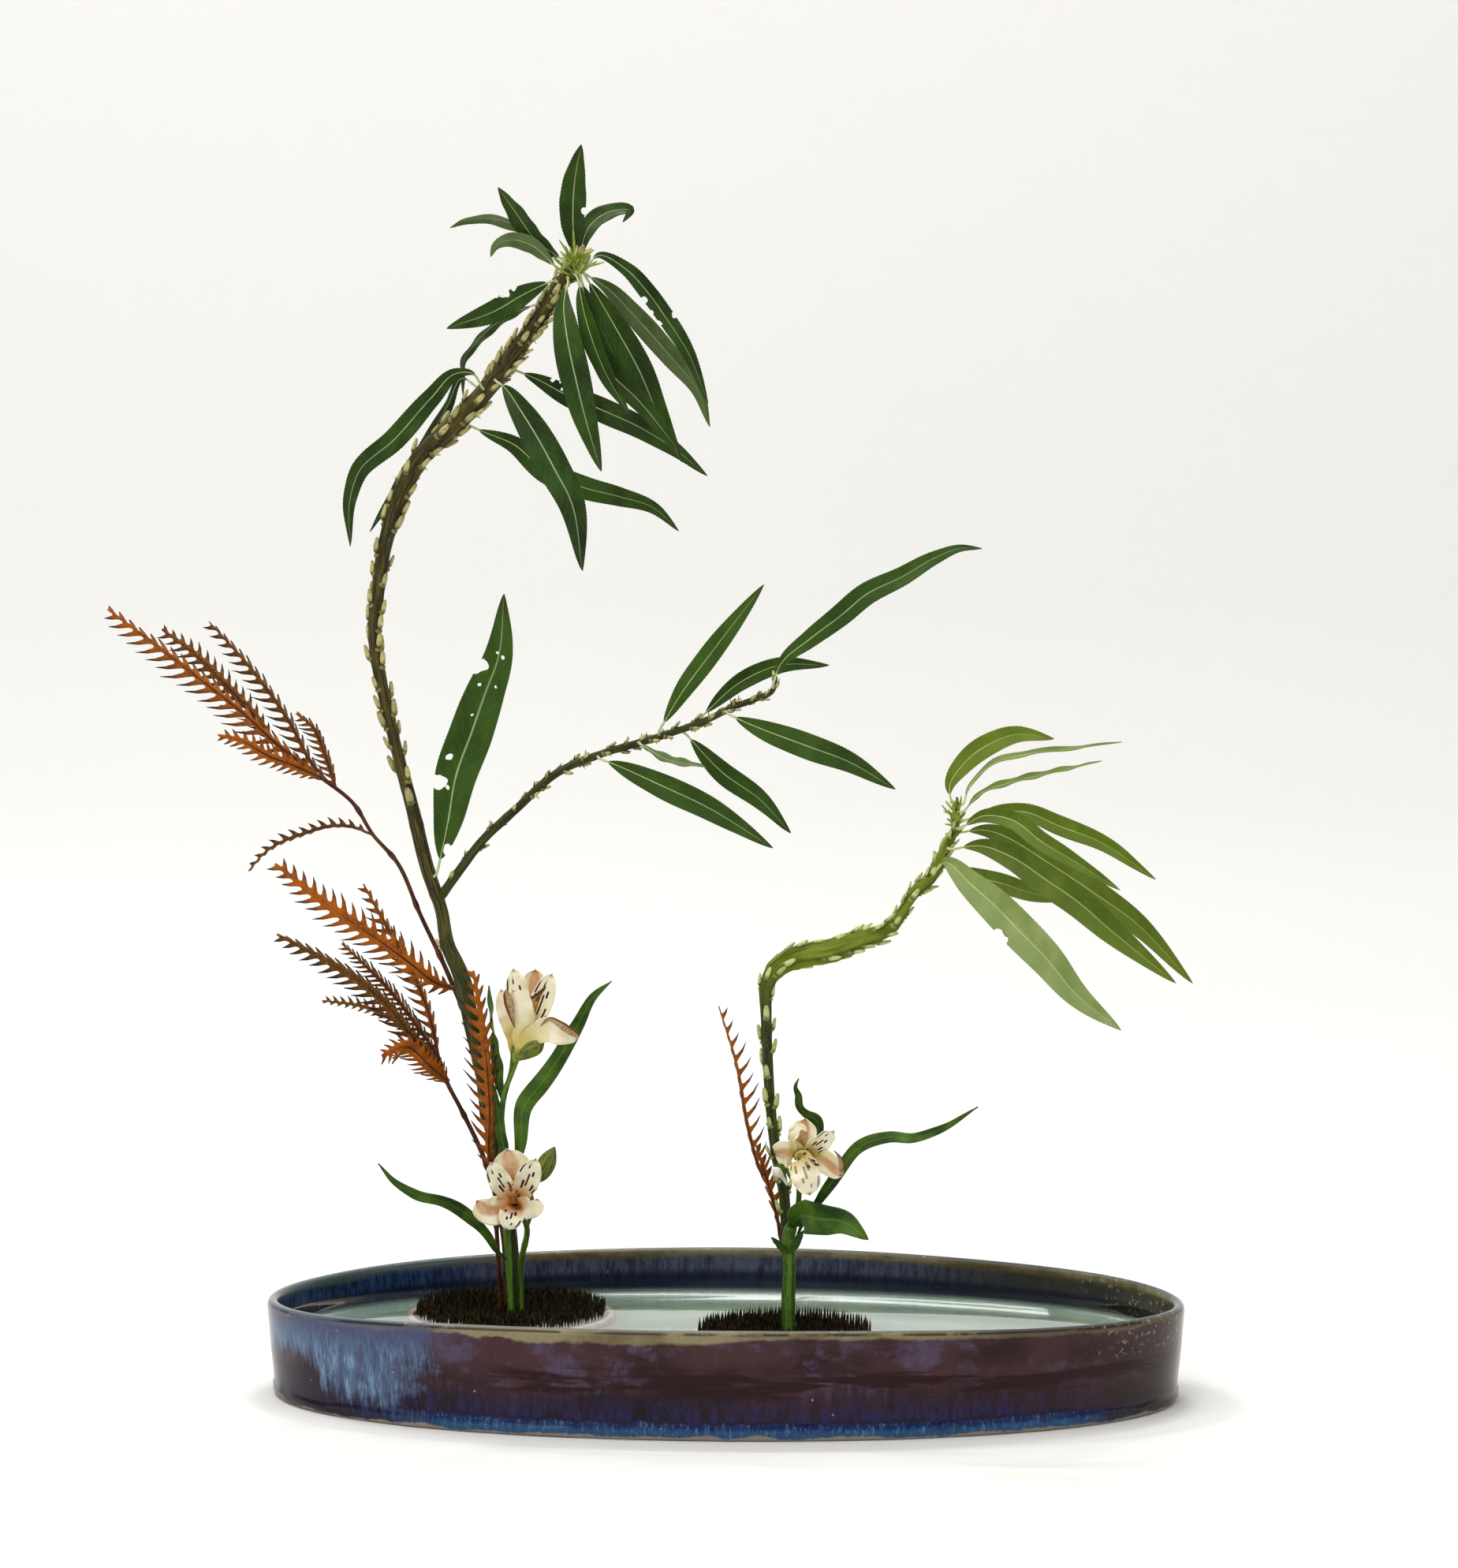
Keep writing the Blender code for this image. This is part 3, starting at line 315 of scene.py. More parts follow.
def stoneware_glaze():
    material, tree, shader = new_material("run_blue_and_brown_glaze", Roughness=0.12, Specular_IOR_Level=0.19)
    where = object_place(tree)
    split = node(tree, "SeparateXYZ", {"Vector": where})
    step = carried(tree, "up_wall")
    grain = blotches(tree, where, 700, 4, 0.7, stretch=(1, 1, 0.2))
    runs = blotches(tree, where, 210, 3, 0.6, stretch=(1, 1, 0.17))
    cloud = blotches(tree, where, 15, 5, 0.6, stretch=(1, 1, 2.2))
    patch = blotches(tree, where, 34, 5, 0.65, stretch=(1, 1, 1.5), shift=(3, 5, 1))
    streak = maths(tree, "MULTIPLY_ADD", grain, 0.5, times(tree, runs, 0.5))
    # The glaze's own place wavers, so that no edge between two colours runs straight.
    x = sway(tree, patch, 0.09, split.outputs["X"])
    z = sway(tree, runs, 0.03, split.outputs["Z"])
    low_z = sway(tree, runs, 0.007, split.outputs["Z"])

    # Outside: purple-brown that hazes to mauve, darkens downwards and turns deep blue in the runs.
    outer = coats(tree, srgb(30, 6, 10),
        (srgb(66, 38, 42), (cloud, 0.34, 0.62)),
        (srgb(84, 74, 102), 0.65, (patch, 0.48, 0.62), (z, 0.020, 0.034), (streak, 0.3, 0.55, 0.5, 1)),
        (srgb(20, 4, 20), 0.75, (z, 0.034, 0.012)),
        (srgb(36, 38, 92), 0.85, (streak, 0.42, 0.60), (z, 0.030, 0.010)),
        (srgb(60, 40, 38), 0.8, (x, 0.16, 0.23)),
        # Painted shade: the lower part of the right end, which turns away from the light, is darkened.
        (srgb(28, 14, 16), 0.6, (x, 0.16, 0.23), (z, 0.034, 0.016)))

    # Maroon breaks in flat streaks round the middle of the wall.
    flat = blotches(tree, where, 13, 4, 0.6, stretch=(1, 1, 9), shift=(1, 2, 7))
    outer = coats(tree, outer,
        (srgb(34, 0, 2), 1.0, (flat, 0.46, 0.56), (x, -0.135, -0.10), (split.outputs["Z"], 0.019, 0.027),
         (split.outputs["Z"], 0.042, 0.034)))

    # A pale blue curtain of runs at the left front, dark brown pools beneath it.
    hem = span(tree, split.outputs["X"], -0.228, -0.198, 0.031, 0.008)
    slant = maths(tree, "MULTIPLY_ADD", z, -0.85, x)
    curtain = times(tree, span(tree, slant, -0.173, -0.203),
                    span(tree, maths(tree, "SUBTRACT", z, hem), -0.004, 0.008))
    outer = coats(tree, outer,
        (srgb(32, 18, 30), 0.8, (x, -0.165, -0.200), (z, 0.036, 0.022)),
        (srgb(74, 80, 112), 0.92, curtain),
        (srgb(92, 126, 156), 0.85, curtain, (streak, 0.40, 0.60), (z, 0.054, 0.038)),
        (srgb(138, 172, 188), 0.8, curtain, (streak, 0.52, 0.68), (x, -0.235, -0.215), (z, 0.044, 0.034)))

    # The blue roll above the foot with a dark line over it, and the bare clay line under it.
    low_down = times(tree, span(tree, x, -0.20, -0.13), span(tree, x, 0.235, 0.19))
    outer = coats(tree, outer, (srgb(16, 12, 42), 0.7, (low_z, 0.0125, 0.0100), low_down))
    roll = coats(tree, srgb(24, 38, 88),
        (srgb(46, 84, 124), (low_z, 0.0078, 0.0040)),
        (srgb(92, 136, 164), 0.6, (grain, 0.50, 0.68)))
    outer = coats(tree, outer, (roll, 0.95, (low_z, 0.0098, 0.0082), low_down))
    foot = sway(tree, patch, 0.010, split.outputs["Z"])
    bare = span(tree, foot, 0.0026, 0.0014)
    outer = coats(tree, outer, (srgb(150, 140, 126), 1.0, bare))

    # The lip, where glaze thins to olive-tan: broadest left of the middle, cooler at the left end,
    # browner at the right, with a dark line under its top.
    broad = times(tree, span(tree, x, -0.14, -0.11, 0, 0.06), span(tree, x, 0.03, -0.01))
    lip_edge = maths(tree, "ADD", step, sway(tree, patch, 0.14, broad))
    tan = coats(tree, srgb(104, 90, 62),
        (srgb(140, 128, 96), (cloud, 0.4, 0.6)),
        (srgb(86, 92, 110), 0.9, (x, -0.12, -0.19)),
        (srgb(84, 70, 58), 0.8, (x, 0.08, 0.19)))
    outer = coats(tree, outer,
        (tan, 1.0, (lip_edge, 0.90, 0.94)),
        (srgb(26, 24, 24), 0.75, (step, 0.950, 0.962), (step, 0.985, 0.975), (patch, 0.40, 0.50)))
    top_blue = mix(tree, span(tree, x, -0.04, 0.10), srgb(112, 122, 122), srgb(44, 70, 96))
    outer = coats(tree, outer, (top_blue, 0.85, (step, 0.980, 0.992), (grain, 0.35, 0.6, 0.45, 1)))

    # Inside: olive below the lip, slate blue down the wall, navy at the waterline, celadon floor.
    wall_in = coats(tree, srgb(44, 50, 66),
        (srgb(80, 84, 104), (streak, 0.36, 0.60)),
        (mix(tree, span(tree, streak, 0.4, 0.6), srgb(22, 30, 54), srgb(42, 70, 112)), 0.95, (x, -0.12, -0.19)),
        (mix(tree, span(tree, cloud, 0.4, 0.6), srgb(50, 48, 42), srgb(72, 68, 50)), 0.9, (x, 0.07, 0.17)),
        (srgb(12, 22, 40), 0.85, (step, 1.17, 1.27)))
    olive = coats(tree, srgb(82, 74, 46),
        (srgb(112, 104, 70), (patch, 0.4, 0.6)),
        (srgb(66, 82, 88), 0.85, (x, -0.10, -0.18)))
    lip_in = sway(tree, patch, 0.12, step)
    inner = mix(tree, span(tree, lip_in, 1.11, 1.05), wall_in, olive)
    floor = mix(tree, span(tree, cloud, 0.4, 0.6), srgb(112, 132, 118), srgb(132, 148, 128))
    inner = mix(tree, span(tree, step, 1.62, 1.86), inner, floor)
    colour = mix(tree, span(tree, step, 1.0, 1.03), outer, inner)

    # A few iron specks and pale pinholes, and a patch of pale crystals at the right end.
    specks = node(tree, "TexVoronoi", {"Vector": where, "Scale": 150.0}).outputs["Distance"]
    speck = span(tree, specks, 0.08, 0.05)
    colour = coats(tree, colour, (srgb(20, 16, 18), 0.6, speck))
    holes = node(tree, "TexVoronoi", {"Vector": where, "Scale": 62.0}).outputs["Distance"]
    colour = coats(tree, colour,
        (srgb(170, 168, 170), 0.6, (holes, 0.05, 0.025)),
        (srgb(150, 150, 130), 0.75, (blotches(tree, where, 330, 3, 0.6), 0.56, 0.68), (x, 0.185, 0.215),
         (split.outputs["Z"], 0.034, 0.040)))
    colour = mix(tree, 0.2, colour, grain, "OVERLAY")
    colour_to(tree, shader, colour)
    rings = blotches(tree, where, 40, 2, 0.5, stretch=(0.15, 0.15, 5))
    height = maths(tree, "MULTIPLY_ADD", rings, 0.6, times(tree, grain, 0.25))
    bump(tree, shader, maths(tree, "MULTIPLY_ADD", speck, -0.3, height), 0.0006, 0.6)
    gloss = maths(tree, "MULTIPLY_ADD", grain, 0.08, maths(tree, "MULTIPLY_ADD", bare, 0.6, 0.09))
    tree.links.new(gloss, shader.inputs["Roughness"])
    return material


piece(build_bowl(), "oval_bowl", [stoneware_glaze()], ["bowl"])


# ---------------------------------------------------------------- water
# The bowl is filled to 41 mm, just under the tips of the pins. The body of water runs a hair into
# the clay all round, so that only its top surface meets the air.
def build_water():
    bm = bmesh.new()
    rings = []
    for inset, height in [(13.5, 12.6), (10.6, 17), (9.6, 28), (7.6, 40.2), (7.4, 41.4), (8.2, 41.12), (9.5, 41)]:
        verts, edges = unit_ring(bm, 160)
        for vert in verts:
            vert.co = oval(angle_round(vert), inset * MM, height * MM)
        rings.append(edges)
    bmesh.ops.inset_individual(bm, faces=skin_rings(bm, rings), thickness=2 * MM)
    return bm


def clear_water():
    """Glass-clear with water's index; shadows pass through so the floor of the bowl stays lit."""
    material, tree, shader = new_material("clear_water", Base_Color=(0.93, 0.97, 0.96, 1), Roughness=0.0,
                                          IOR=1.33, Transmission_Weight=1.0)
    ripple = blotches(tree, object_place(tree), 22, 2, 0.5)
    bump(tree, shader, ripple, 0.0004, 0.08)
    through = node(tree, "BsdfTransparent", {"Color": (0.9, 0.95, 0.94, 1)})
    shadow = node(tree, "LightPath").outputs["Is Shadow Ray"]
    both = node(tree, "MixShader", {0: shadow, 1: shader.outputs[0], 2: through.outputs[0]})
    tree.links.new(both.outputs[0], tree.nodes["Material Output"].inputs["Surface"])
    return material


piece(build_water(), "water", [clear_water()], sharp=30)


# ---------------------------------------------------------------- pin holders
# Two round kenzans: a heavy cast plate set with hundreds of pointed brass pins that have gone dark
# in the water. A pale rubber ring is stretched round each plate to keep it from sliding.
PIN_PITCH = 3.2 * MM
ROW_PITCH = PIN_PITCH * 0.866
PIN_TIP = 46.5 * MM
PIN_POINT = 4 * MM
PIN_SUNK = 0.5 * MM
PIN_FOOT_RADIUS, PIN_TOP_RADIUS = 0.68 * MM, 0.58 * MM


def dark_metal(name, dark, light, rough):
    material, tree, shader = new_material(name, Metallic=0.85)
    where = object_place(tree)
    worn = blotches(tree, where, 420, 4, 0.6)
    colour_to(tree, shader, mix(tree, span(tree, worn, 0.4, 0.68), dark, light))
    tree.links.new(span(tree, worn, 0.3, 0.7, rough, rough + 0.25), shader.inputs["Roughness"])
    bump(tree, shader, worn, 0.0002, 0.5)
    return material


def build_plate(middle, radius, low, high):
    bm = bmesh.new()
    bmesh.ops.create_cone(bm, cap_ends=True, segments=96, radius1=radius, radius2=radius, depth=high - low)
    rims = [edge for edge in bm.edges if abs(edge.verts[0].co.z - edge.verts[1].co.z) < 1e-6]
    bmesh.ops.bevel(bm, geom=rims, offset=0.8 * MM, segments=3, affect="EDGES", profile=0.5, material=-1)
    bmesh.ops.translate(bm, verts=bm.verts, vec=middle + Vector((0, 0, (low + high) / 2)))
    return bm


def pour(bm, part):
    """Move all of a small bmesh into a larger one."""
    mesh = bpy.data.meshes.new("part")
    part.to_mesh(mesh)
    part.free()
    bm.from_mesh(mesh)
    bpy.data.meshes.remove(mesh)


def add_pins(bm, middle, radius, foot, feet):
    """Pins in staggered rows, each a six-sided shaft ground to a point, none where a stem stands."""
    rows = int(radius / ROW_PITCH) + 1
    length = PIN_TIP - PIN_POINT - foot + PIN_SUNK
    chance = random.Random(4)
    for row in range(-rows, rows + 1):
        for column in range(-rows, rows + 1):
            place = Vector(((column + (row % 2) / 2) * PIN_PITCH, row * ROW_PITCH, 0))
            if place.length > radius - 1.6 * MM:
                continue
            if any((middle + place - stem).xy.length < thick + 0.7 * MM for stem, thick in feet):
                continue
            pin = bmesh.new()
            bmesh.ops.create_cone(pin, cap_ends=True, segments=6, radius1=PIN_FOOT_RADIUS, radius2=PIN_TOP_RADIUS,
                                  depth=length)
            top = max(pin.faces, key=lambda face: face.calc_center_median().z)
            bmesh.ops.poke(pin, faces=[top])["verts"][0].co.z += PIN_POINT
            lean = Matrix.Rotation(chance.uniform(-0.02, 0.02), 3, "X") @ Matrix.Rotation(
                chance.uniform(-0.02, 0.02), 3, "Y")
            bmesh.ops.rotate(pin, verts=pin.verts, cent=(0, 0, -length / 2), matrix=lean)
            centre = middle + place + Vector((0, 0, foot - PIN_SUNK + length / 2))
            bmesh.ops.translate(pin, verts=pin.verts, vec=centre)
            pour(bm, pin)


def build_ring(middle, inner, outer, low, high):
    """A soft square-section band with rounded corners, spun about the plate."""
    bm = bmesh.new()
    half, tall = (outer - inner) / 2, high - low
    corners = [(inner, low + 0.4 * MM), (inner + 0.5 * MM, low), (outer - 0.9 * MM, low), (outer, low + 0.9 * MM),
               (outer, low + tall * 0.75), (outer - half * 0.4, high - 0.3 * MM), (outer - half, high),
               (inner + 0.4 * MM, high), (inner, high - 0.5 * MM)]
    profile = [bm.verts.new((radius, 0, height)) for radius, height in corners]
    edges = [bm.edges.new((a, b)) for a, b in zip(profile, profile[1:] + profile[:1])]
    bmesh.ops.spin(bm, geom=profile + edges, axis=(0, 0, 1), cent=(0, 0, 0), steps=96, angle=2 * pi, use_merge=True)
    bmesh.ops.remove_doubles(bm, verts=bm.verts, dist=0.00001)
    bmesh.ops.translate(bm, verts=bm.verts, vec=middle)
    return bm


def ring_rubber():
    material, tree, shader = new_material("pale_ring_rubber", Roughness=0.6)
    tone = blotches(tree, object_place(tree), 120, 4, 0.6)
    colour_to(tree, shader, mix(tree, span(tree, tone, 0.35, 0.65), srgb(150, 132, 112), srgb(184, 168, 146)))
    bump(tree, shader, tone, 0.0003, 0.4)
    return material


pin_brass = dark_metal("darkened_brass_pins", srgb(26, 22, 12), srgb(92, 80, 52), 0.3)
rubber = ring_rubber()
STEM_FEET = {
    "left": [((-118, 22), 3.2), ((-116, 32), 1.5), ((-123, 36), 1.4), ((-125, 16), 1.2), ((-118, 12), 2.2),
             ((-112, 14), 1.6)],
    "right": [((34, -24), 2.7), ((33, -15), 1.2), ((36, -36), 3.4)],
}
for side in ("left", "right"):
    low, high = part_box("kenzan_" + side)
    middle = Vector(((low.x + high.x) / 2, (low.y + high.y) / 2, 0))
    radius = (high.x - low.x) / 2
    top = low.z + 10 * MM
    feet = [(Vector((x, y, 0)) * MM, thick * MM) for (x, y), thick in STEM_FEET[side]]
    holder = build_plate(middle, radius, low.z, top)
    add_pins(holder, middle, radius, top, feet)
    piece(holder, "pin_holder_" + side, [pin_brass], ["kenzan_" + side], sharp=35,
          outward=False)
    low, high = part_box("kenzan_ring_" + side)
    ring = build_ring(middle, radius + 0.3 * MM, (high.x - low.x) / 2, low.z, high.z)
    piece(ring, "holder_ring_" + side, [rubber], ["kenzan_ring_" + side], sharp=40)


# ---------------------------------------------------------------- tall willow branch
# A branch of fasciated willow cut and bent by hand, with its side shoot. The skin is green-brown
# and ridged. The stripped leaves have left a tight spiral of cream buds, scars and dried stipules.
LEFT_BRANCH = [
    (-118, 22, 22.6, 3.2), (-119, 21, 69, 3.2), (-121, 20, 95, 3.4), (-128, 17, 140, 3.8),
    (-133, 15, 167, 4.1), (-140, 12, 202, 4.3), (-146, 9, 231, 4.4), (-153, 7, 248, 3.9),
    (-156, 6, 266, 3.6), (-163, 4, 288, 4.0), (-172, 0, 327, 3.7), (-178, -3, 351, 3.2),
    (-184, -6, 378, 3.3), (-190, -10, 416, 3.5), (-187, -12, 449, 3.6), (-184, -13, 467, 3.8),
    (-175, -15, 494, 4.2), (-163, -17, 516, 4.7), (-148, -19, 530, 5.0), (-132, -21, 547, 4.9),
    (-118, -22, 564, 4.6), (-106, -23, 580, 4.1), (-96, -24, 594, 3.8), (-87, -25, 609, 3.3),
    (-79, -26, 619, 2.6), (-77, -26, 623, 1.0)]
SIDE_SHOOT = [
    (-157, 5, 273, 2.6), (-144, 4, 291, 2.5), (-134, 2, 304, 2.4), (-114, -2, 323, 2.3),
    (-90, -6, 344, 2.2), (-67, -10, 354, 2.1), (-38, -14, 363, 2.0), (-8, -20, 374, 1.8),
    (6, -23, 381, 1.7), (19, -26, 386, 1.6), (27, -28, 390, 1.5), (29, -29, 398, 1.2)]


def smooth_path(points, spacing):
    """Points about `spacing` apart along one smooth curve through the given ones, in metres."""
    points = [Vector(point) * MM for point in points]
    knots = [0.0]
    for a, b in zip(points, points[1:]):
        knots.append(knots[-1] + (Vector(b[:3]) - Vector(a[:3])).length)
    slopes = [(b - a) / (tb - ta) for a, b, ta, tb in zip(points, points[1:], knots, knots[1:])]
    tangents = [slopes[0]]
    for i in range(1, len(points) - 1):
        before, after = knots[i] - knots[i - 1], knots[i + 1] - knots[i]
        tangents.append((slopes[i - 1] * after + slopes[i] * before) / (before + after))
    tangents.append(slopes[-1])
    count = max(int(knots[-1] / spacing), 6)
    path, segment = [], 0
    for step in range(count + 1):
        t = knots[-1] * step / count
        while segment < len(points) - 2 and t > knots[segment + 1]:
            segment += 1
        reach = knots[segment + 1] - knots[segment]
        u = min((t - knots[segment]) / reach, 1.0)
        path.append(points[segment] * (2 * u ** 3 - 3 * u ** 2 + 1)
                    + tangents[segment] * (reach * (u ** 3 - 2 * u ** 2 + u))
                    + points[segment + 1] * (3 * u ** 2 - 2 * u ** 3)
                    + tangents[segment + 1] * (reach * (u ** 3 - u ** 2)))
    return path


def stations(path):
    """(centre, heading, side, front, radius, distance run) at each point; front turns to the viewer."""
    centres = [Vector(point[:3]) for point in path]
    ends = [centres[0]] + centres + [centres[-1]]
    run, made = 0.0, []
    for i, centre in enumerate(centres):
        heading = (ends[i + 2] - ends[i]).normalized()
        side = heading.cross(Vector((0, -1, 0))).normalized()
        run += (centre - ends[i]).length
        made.append((centre, heading, side, side.cross(heading), path[i][3] if len(path[i]) > 3 else 0, run))
    return made


def add_tube(bm, path, sides, swell=None):
    """A closed round tube; its own place (round the stem, then along it) goes in an attribute."""
    own = bm.verts.layers.float_vector.get("stem_place") or bm.verts.layers.float_vector.new("stem_place")
    rings = []
    for centre, _, side, front, radius, run in stations(path):
        verts, edges = unit_ring(bm, sides)
        for vert in verts:
            x, y = vert.co.x, vert.co.y
            vert[own] = (x * radius, y * radius, run)
            vert.co = centre + (side * x + front * y) * radius * (swell(x, y, run) if swell else 1)
        rings.append(edges)
    skin_rings(bm, rings)


def ridged(knots, ridge, crease=(0, 0, 1)):
    """Swelling for a woody stem: ridges along it, deeper in a crease (depth, run, spread), and a
    bulge at each knot (run, x, y, size)."""
    def swell(x, y, run):
        depth = ridge + crease[0] * exp(-((run - crease[1]) / crease[2]) ** 2)
        size = 1 + depth * noise.noise(Vector((x * 2.6, y * 2.6, run * 12)))
        if depth > ridge + 0.02:
            waver = 5 * noise.noise(Vector((x, y, run * 25)))
            size += 0.35 * (depth - ridge) * sin(7 * (x * y + x) + 6 * y + waver)
        size += 0.03 * noise.noise(Vector((x * 1.5, y * 1.5, run * 160)))
        for at, kx, ky, bulge in knots:
            if abs(run - at) < 0.006:
                facing = max(0, x * kx + y * ky) ** 2 if kx or ky else 1
                size += bulge * facing * exp(-((run - at) / 0.0022) ** 2)
        return size
    return swell


def add_bud(bm, place, out, up, length, width, lean, tone, bend=0.0):
    """A blunt bud or scale, or a thin hook, with its foot on the bark, leaning off the stem."""
    new = bmesh.new()
    share_layer, tone_layer = new.verts.layers.float.new("bud_share"), new.verts.layers.float.new("bud_tone")
    axis = (up * cos(lean) + out * sin(lean)).normalized()
    side = axis.cross(out).normalized()
    thick = side.cross(axis)
    for vert in bmesh.ops.create_uvsphere(new, u_segments=8, v_segments=7, radius=1)["verts"]:
        share = (vert.co.z + 1) / 2
        plump = width / 2 * (1.05 - 0.3 * share) * max(1 - vert.co.z ** 2, 0.001) ** (-0.2 if tone < 0.6 else 0.15)
        vert[share_layer], vert[tone_layer] = share, tone
        vert.co = (place + side * vert.co.x * plump + thick * (vert.co.y * plump * 0.75 + bend * share * share)
                   + axis * (share * length - 0.7 * MM))
    pour(bm, new)


def surface_at(places, run, angle):
    """A point on a stem's skin a distance along it, with the outward and upward directions."""
    centre, heading, side, front, radius, _ = min(places, key=lambda place: abs(place[5] - run))
    out = side * cos(angle) + front * sin(angle)
    return centre + out * radius * 0.96, out, heading


SPIRAL_TURN = radians(137.5)


def willow_buds(bm, places, plan, seed):
    """plan: (from, to, spacing, length, width, share with hooks, lean) in mm along the stem."""
    chance = random.Random(seed)
    knots, turn = [], 0.3
    for start, end, spacing, length, width, hooks, tilt in plan:
        run = start * MM
        while run < end * MM:
            turn += SPIRAL_TURN + chance.uniform(-0.9, 0.9)
            place, out, up = surface_at(places, run, turn)
            size = chance.uniform(0.78, 1.15)
            lean = radians(tilt * chance.uniform(0.4, 1.6))
            add_bud(bm, place + out * width * 0.24 * MM, out, up, length * size * MM, width * size * MM, lean,
                    chance.uniform(0, 0.3))
            foot, out, up = surface_at(places, run - 0.9 * MM, turn)
            add_bud(bm, foot, out, up, 1.9 * MM, width * 1.25 * MM, radians(52), 0.5)
            if chance.random() < hooks:
                for way in (-0.5, 0.5):
                    foot, out, up = surface_at(places, run + 0.4 * MM, turn + way)
                    add_bud(bm, foot, out, up, chance.uniform(2.6, 5) * MM, 0.85 * MM,
                            radians(chance.uniform(20, 75)), chance.uniform(0.8, 1),
                            bend=chance.uniform(-1.4, 1.4) * MM)
            knots.append((run - 1 * MM, cos(turn), sin(turn), 0.12))
            run += spacing * chance.uniform(0.4, 1.6) * MM
    return knots


def new_group(name, inputs, make):
    """A shader group with the named inputs; make(group, inputs) gives its outputs by name."""
    group = bpy.data.node_groups.new(name, "ShaderNodeTree")
    for socket, kind in inputs.items():
        group.interface.new_socket(socket, in_out="INPUT", socket_type="NodeSocket" + kind)
    outputs = make(group, group.nodes.new("NodeGroupInput").outputs)
    for output in outputs:
        group.interface.new_socket(output, in_out="OUTPUT", socket_type="NodeSocketFloat")
    outside = group.nodes.new("NodeGroupOutput").inputs
    for output, value in outputs.items():
        group.links.new(value, outside[output])
    return group


def stem_skin_marks(group, inside):
    """Marks on any stem from its own place: long streaks, soft mottling, small raised dots, and long dark lines of
    painted shade as in grooves.
    """
    scaled = {0: inside["Place"], "Scale": inside["Fineness"]}
    place = node(group, "VectorMath", scaled, operation="SCALE").outputs[0]
    streak = blotches(group, place, 900, 3, 0.65, stretch=(1, 1, 0.05))
    mottle = blotches(group, place, 150, 4, 0.6, stretch=(1, 1, 0.4))
    cells = node(group, "TexVoronoi", {"Vector": place, "Scale": 480.0}).outputs["Distance"]
    groove_shade = blotches(group, place, 260, 3, 0.6, stretch=(1, 1, 0.08))
    return {"Streak": streak, "Mottle": mottle, "Dots": span(group, cells, 0.26, 0.14),
            "GrooveShade": span(group, groove_shade, 0.46, 0.38)}


stem_skin = new_group("stem_skin", {"Place": "Vector", "Fineness": "Float"}, stem_skin_marks)


def stem_marks(tree, fineness):
    """A stem's own place and the marks that follow from it."""
    own = carried(tree, "stem_place", "Vector")
    return own, node(tree, "Group", {"Place": own, "Fineness": fineness}, node_tree=stem_skin).outputs


def stem_material(name, dark, light, dot, fineness, rough, tint=None, tint_span=(0, 1)):
    """Bark or green skin; the tint, if any, comes in along the stem over tint_span metres."""
    material, tree, shader = new_material(name, Roughness=rough, Specular_IOR_Level=0.3)
    own, skin = stem_marks(tree, fineness)
    colour = mix(tree, span(tree, skin["Streak"], 0.36, 0.64), dark, light)
    if tint:
        run = node(tree, "SeparateXYZ", {"Vector": own}).outputs["Z"]
        colour = mix(tree, span(tree, run, *tint_span), colour, mix(tree, 0.6, colour, tint))
    colour = coats(tree, colour,
        (dark, (skin["Mottle"], 0.42, 0.7, 0, 0.5)),
        # Painted shade: the groove lines darken the skin as if shade lay in grooves.
        (dark, skin["GrooveShade"], 0.75),
        (dot, skin["Dots"], 0.4))
    colour_to(tree, shader, colour)
    height = maths(tree, "ADD", skin["Streak"], times(tree, skin["Dots"], 0.4))
    bump(tree, shader, height, 0.0004, 0.7)
    tree.links.new(span(tree, skin["Mottle"], 0.3, 0.7, rough, rough + 0.2), shader.inputs["Roughness"])
    return material


def bud_material(name, base, body, tip, dried):
    """Buds shade from a darker foot through a pale body to the tip; scars and hooks are dried brown."""
    material, tree, shader = new_material(name, Roughness=0.55, Specular_IOR_Level=0.3)
    share = carried(tree, "bud_share")
    tone = carried(tree, "bud_tone")
    tint = blotches(tree, object_place(tree), 700, 3, 0.6)
    colour = coats(tree, base,
        (body, (share, 0.05, 0.4)),
        (tip, (share, 0.75, 1.0)),
        (base, (tint, 0.45, 0.75, 0, 0.7)),
        (base, (tone, 0, 0.3), 0.35),
        (base, (tone, 0.35, 0.45, 0, 0.55)),
        (dried, (tone, 0.6, 0.8)))
    colour_to(tree, shader, colour)
    bump(tree, shader, tint, 0.0003, 0.5)
    return material


def add_branch(name, node_name, stems, bark, bud_skin):
    """stems: (points, ridge depth, crease, bud plan, ring scars along it, seed)."""
    wood, buds = bmesh.new(), bmesh.new()
    for points, ridge, crease, plan, scars, seed in stems:
        path = smooth_path(points, 1.7 * MM)
        places = stations(path)
        knots = willow_buds(buds, places, plan, seed) + [(run * MM, 0, 0, 0.07) for run in scars]
        add_tube(wood, path, 28 if crease[0] else 22, ridged(knots, ridge, crease))
    piece(wood, name, [bark], [node_name], sharp=60)
    piece(buds, name + "_buds", [bud_skin])


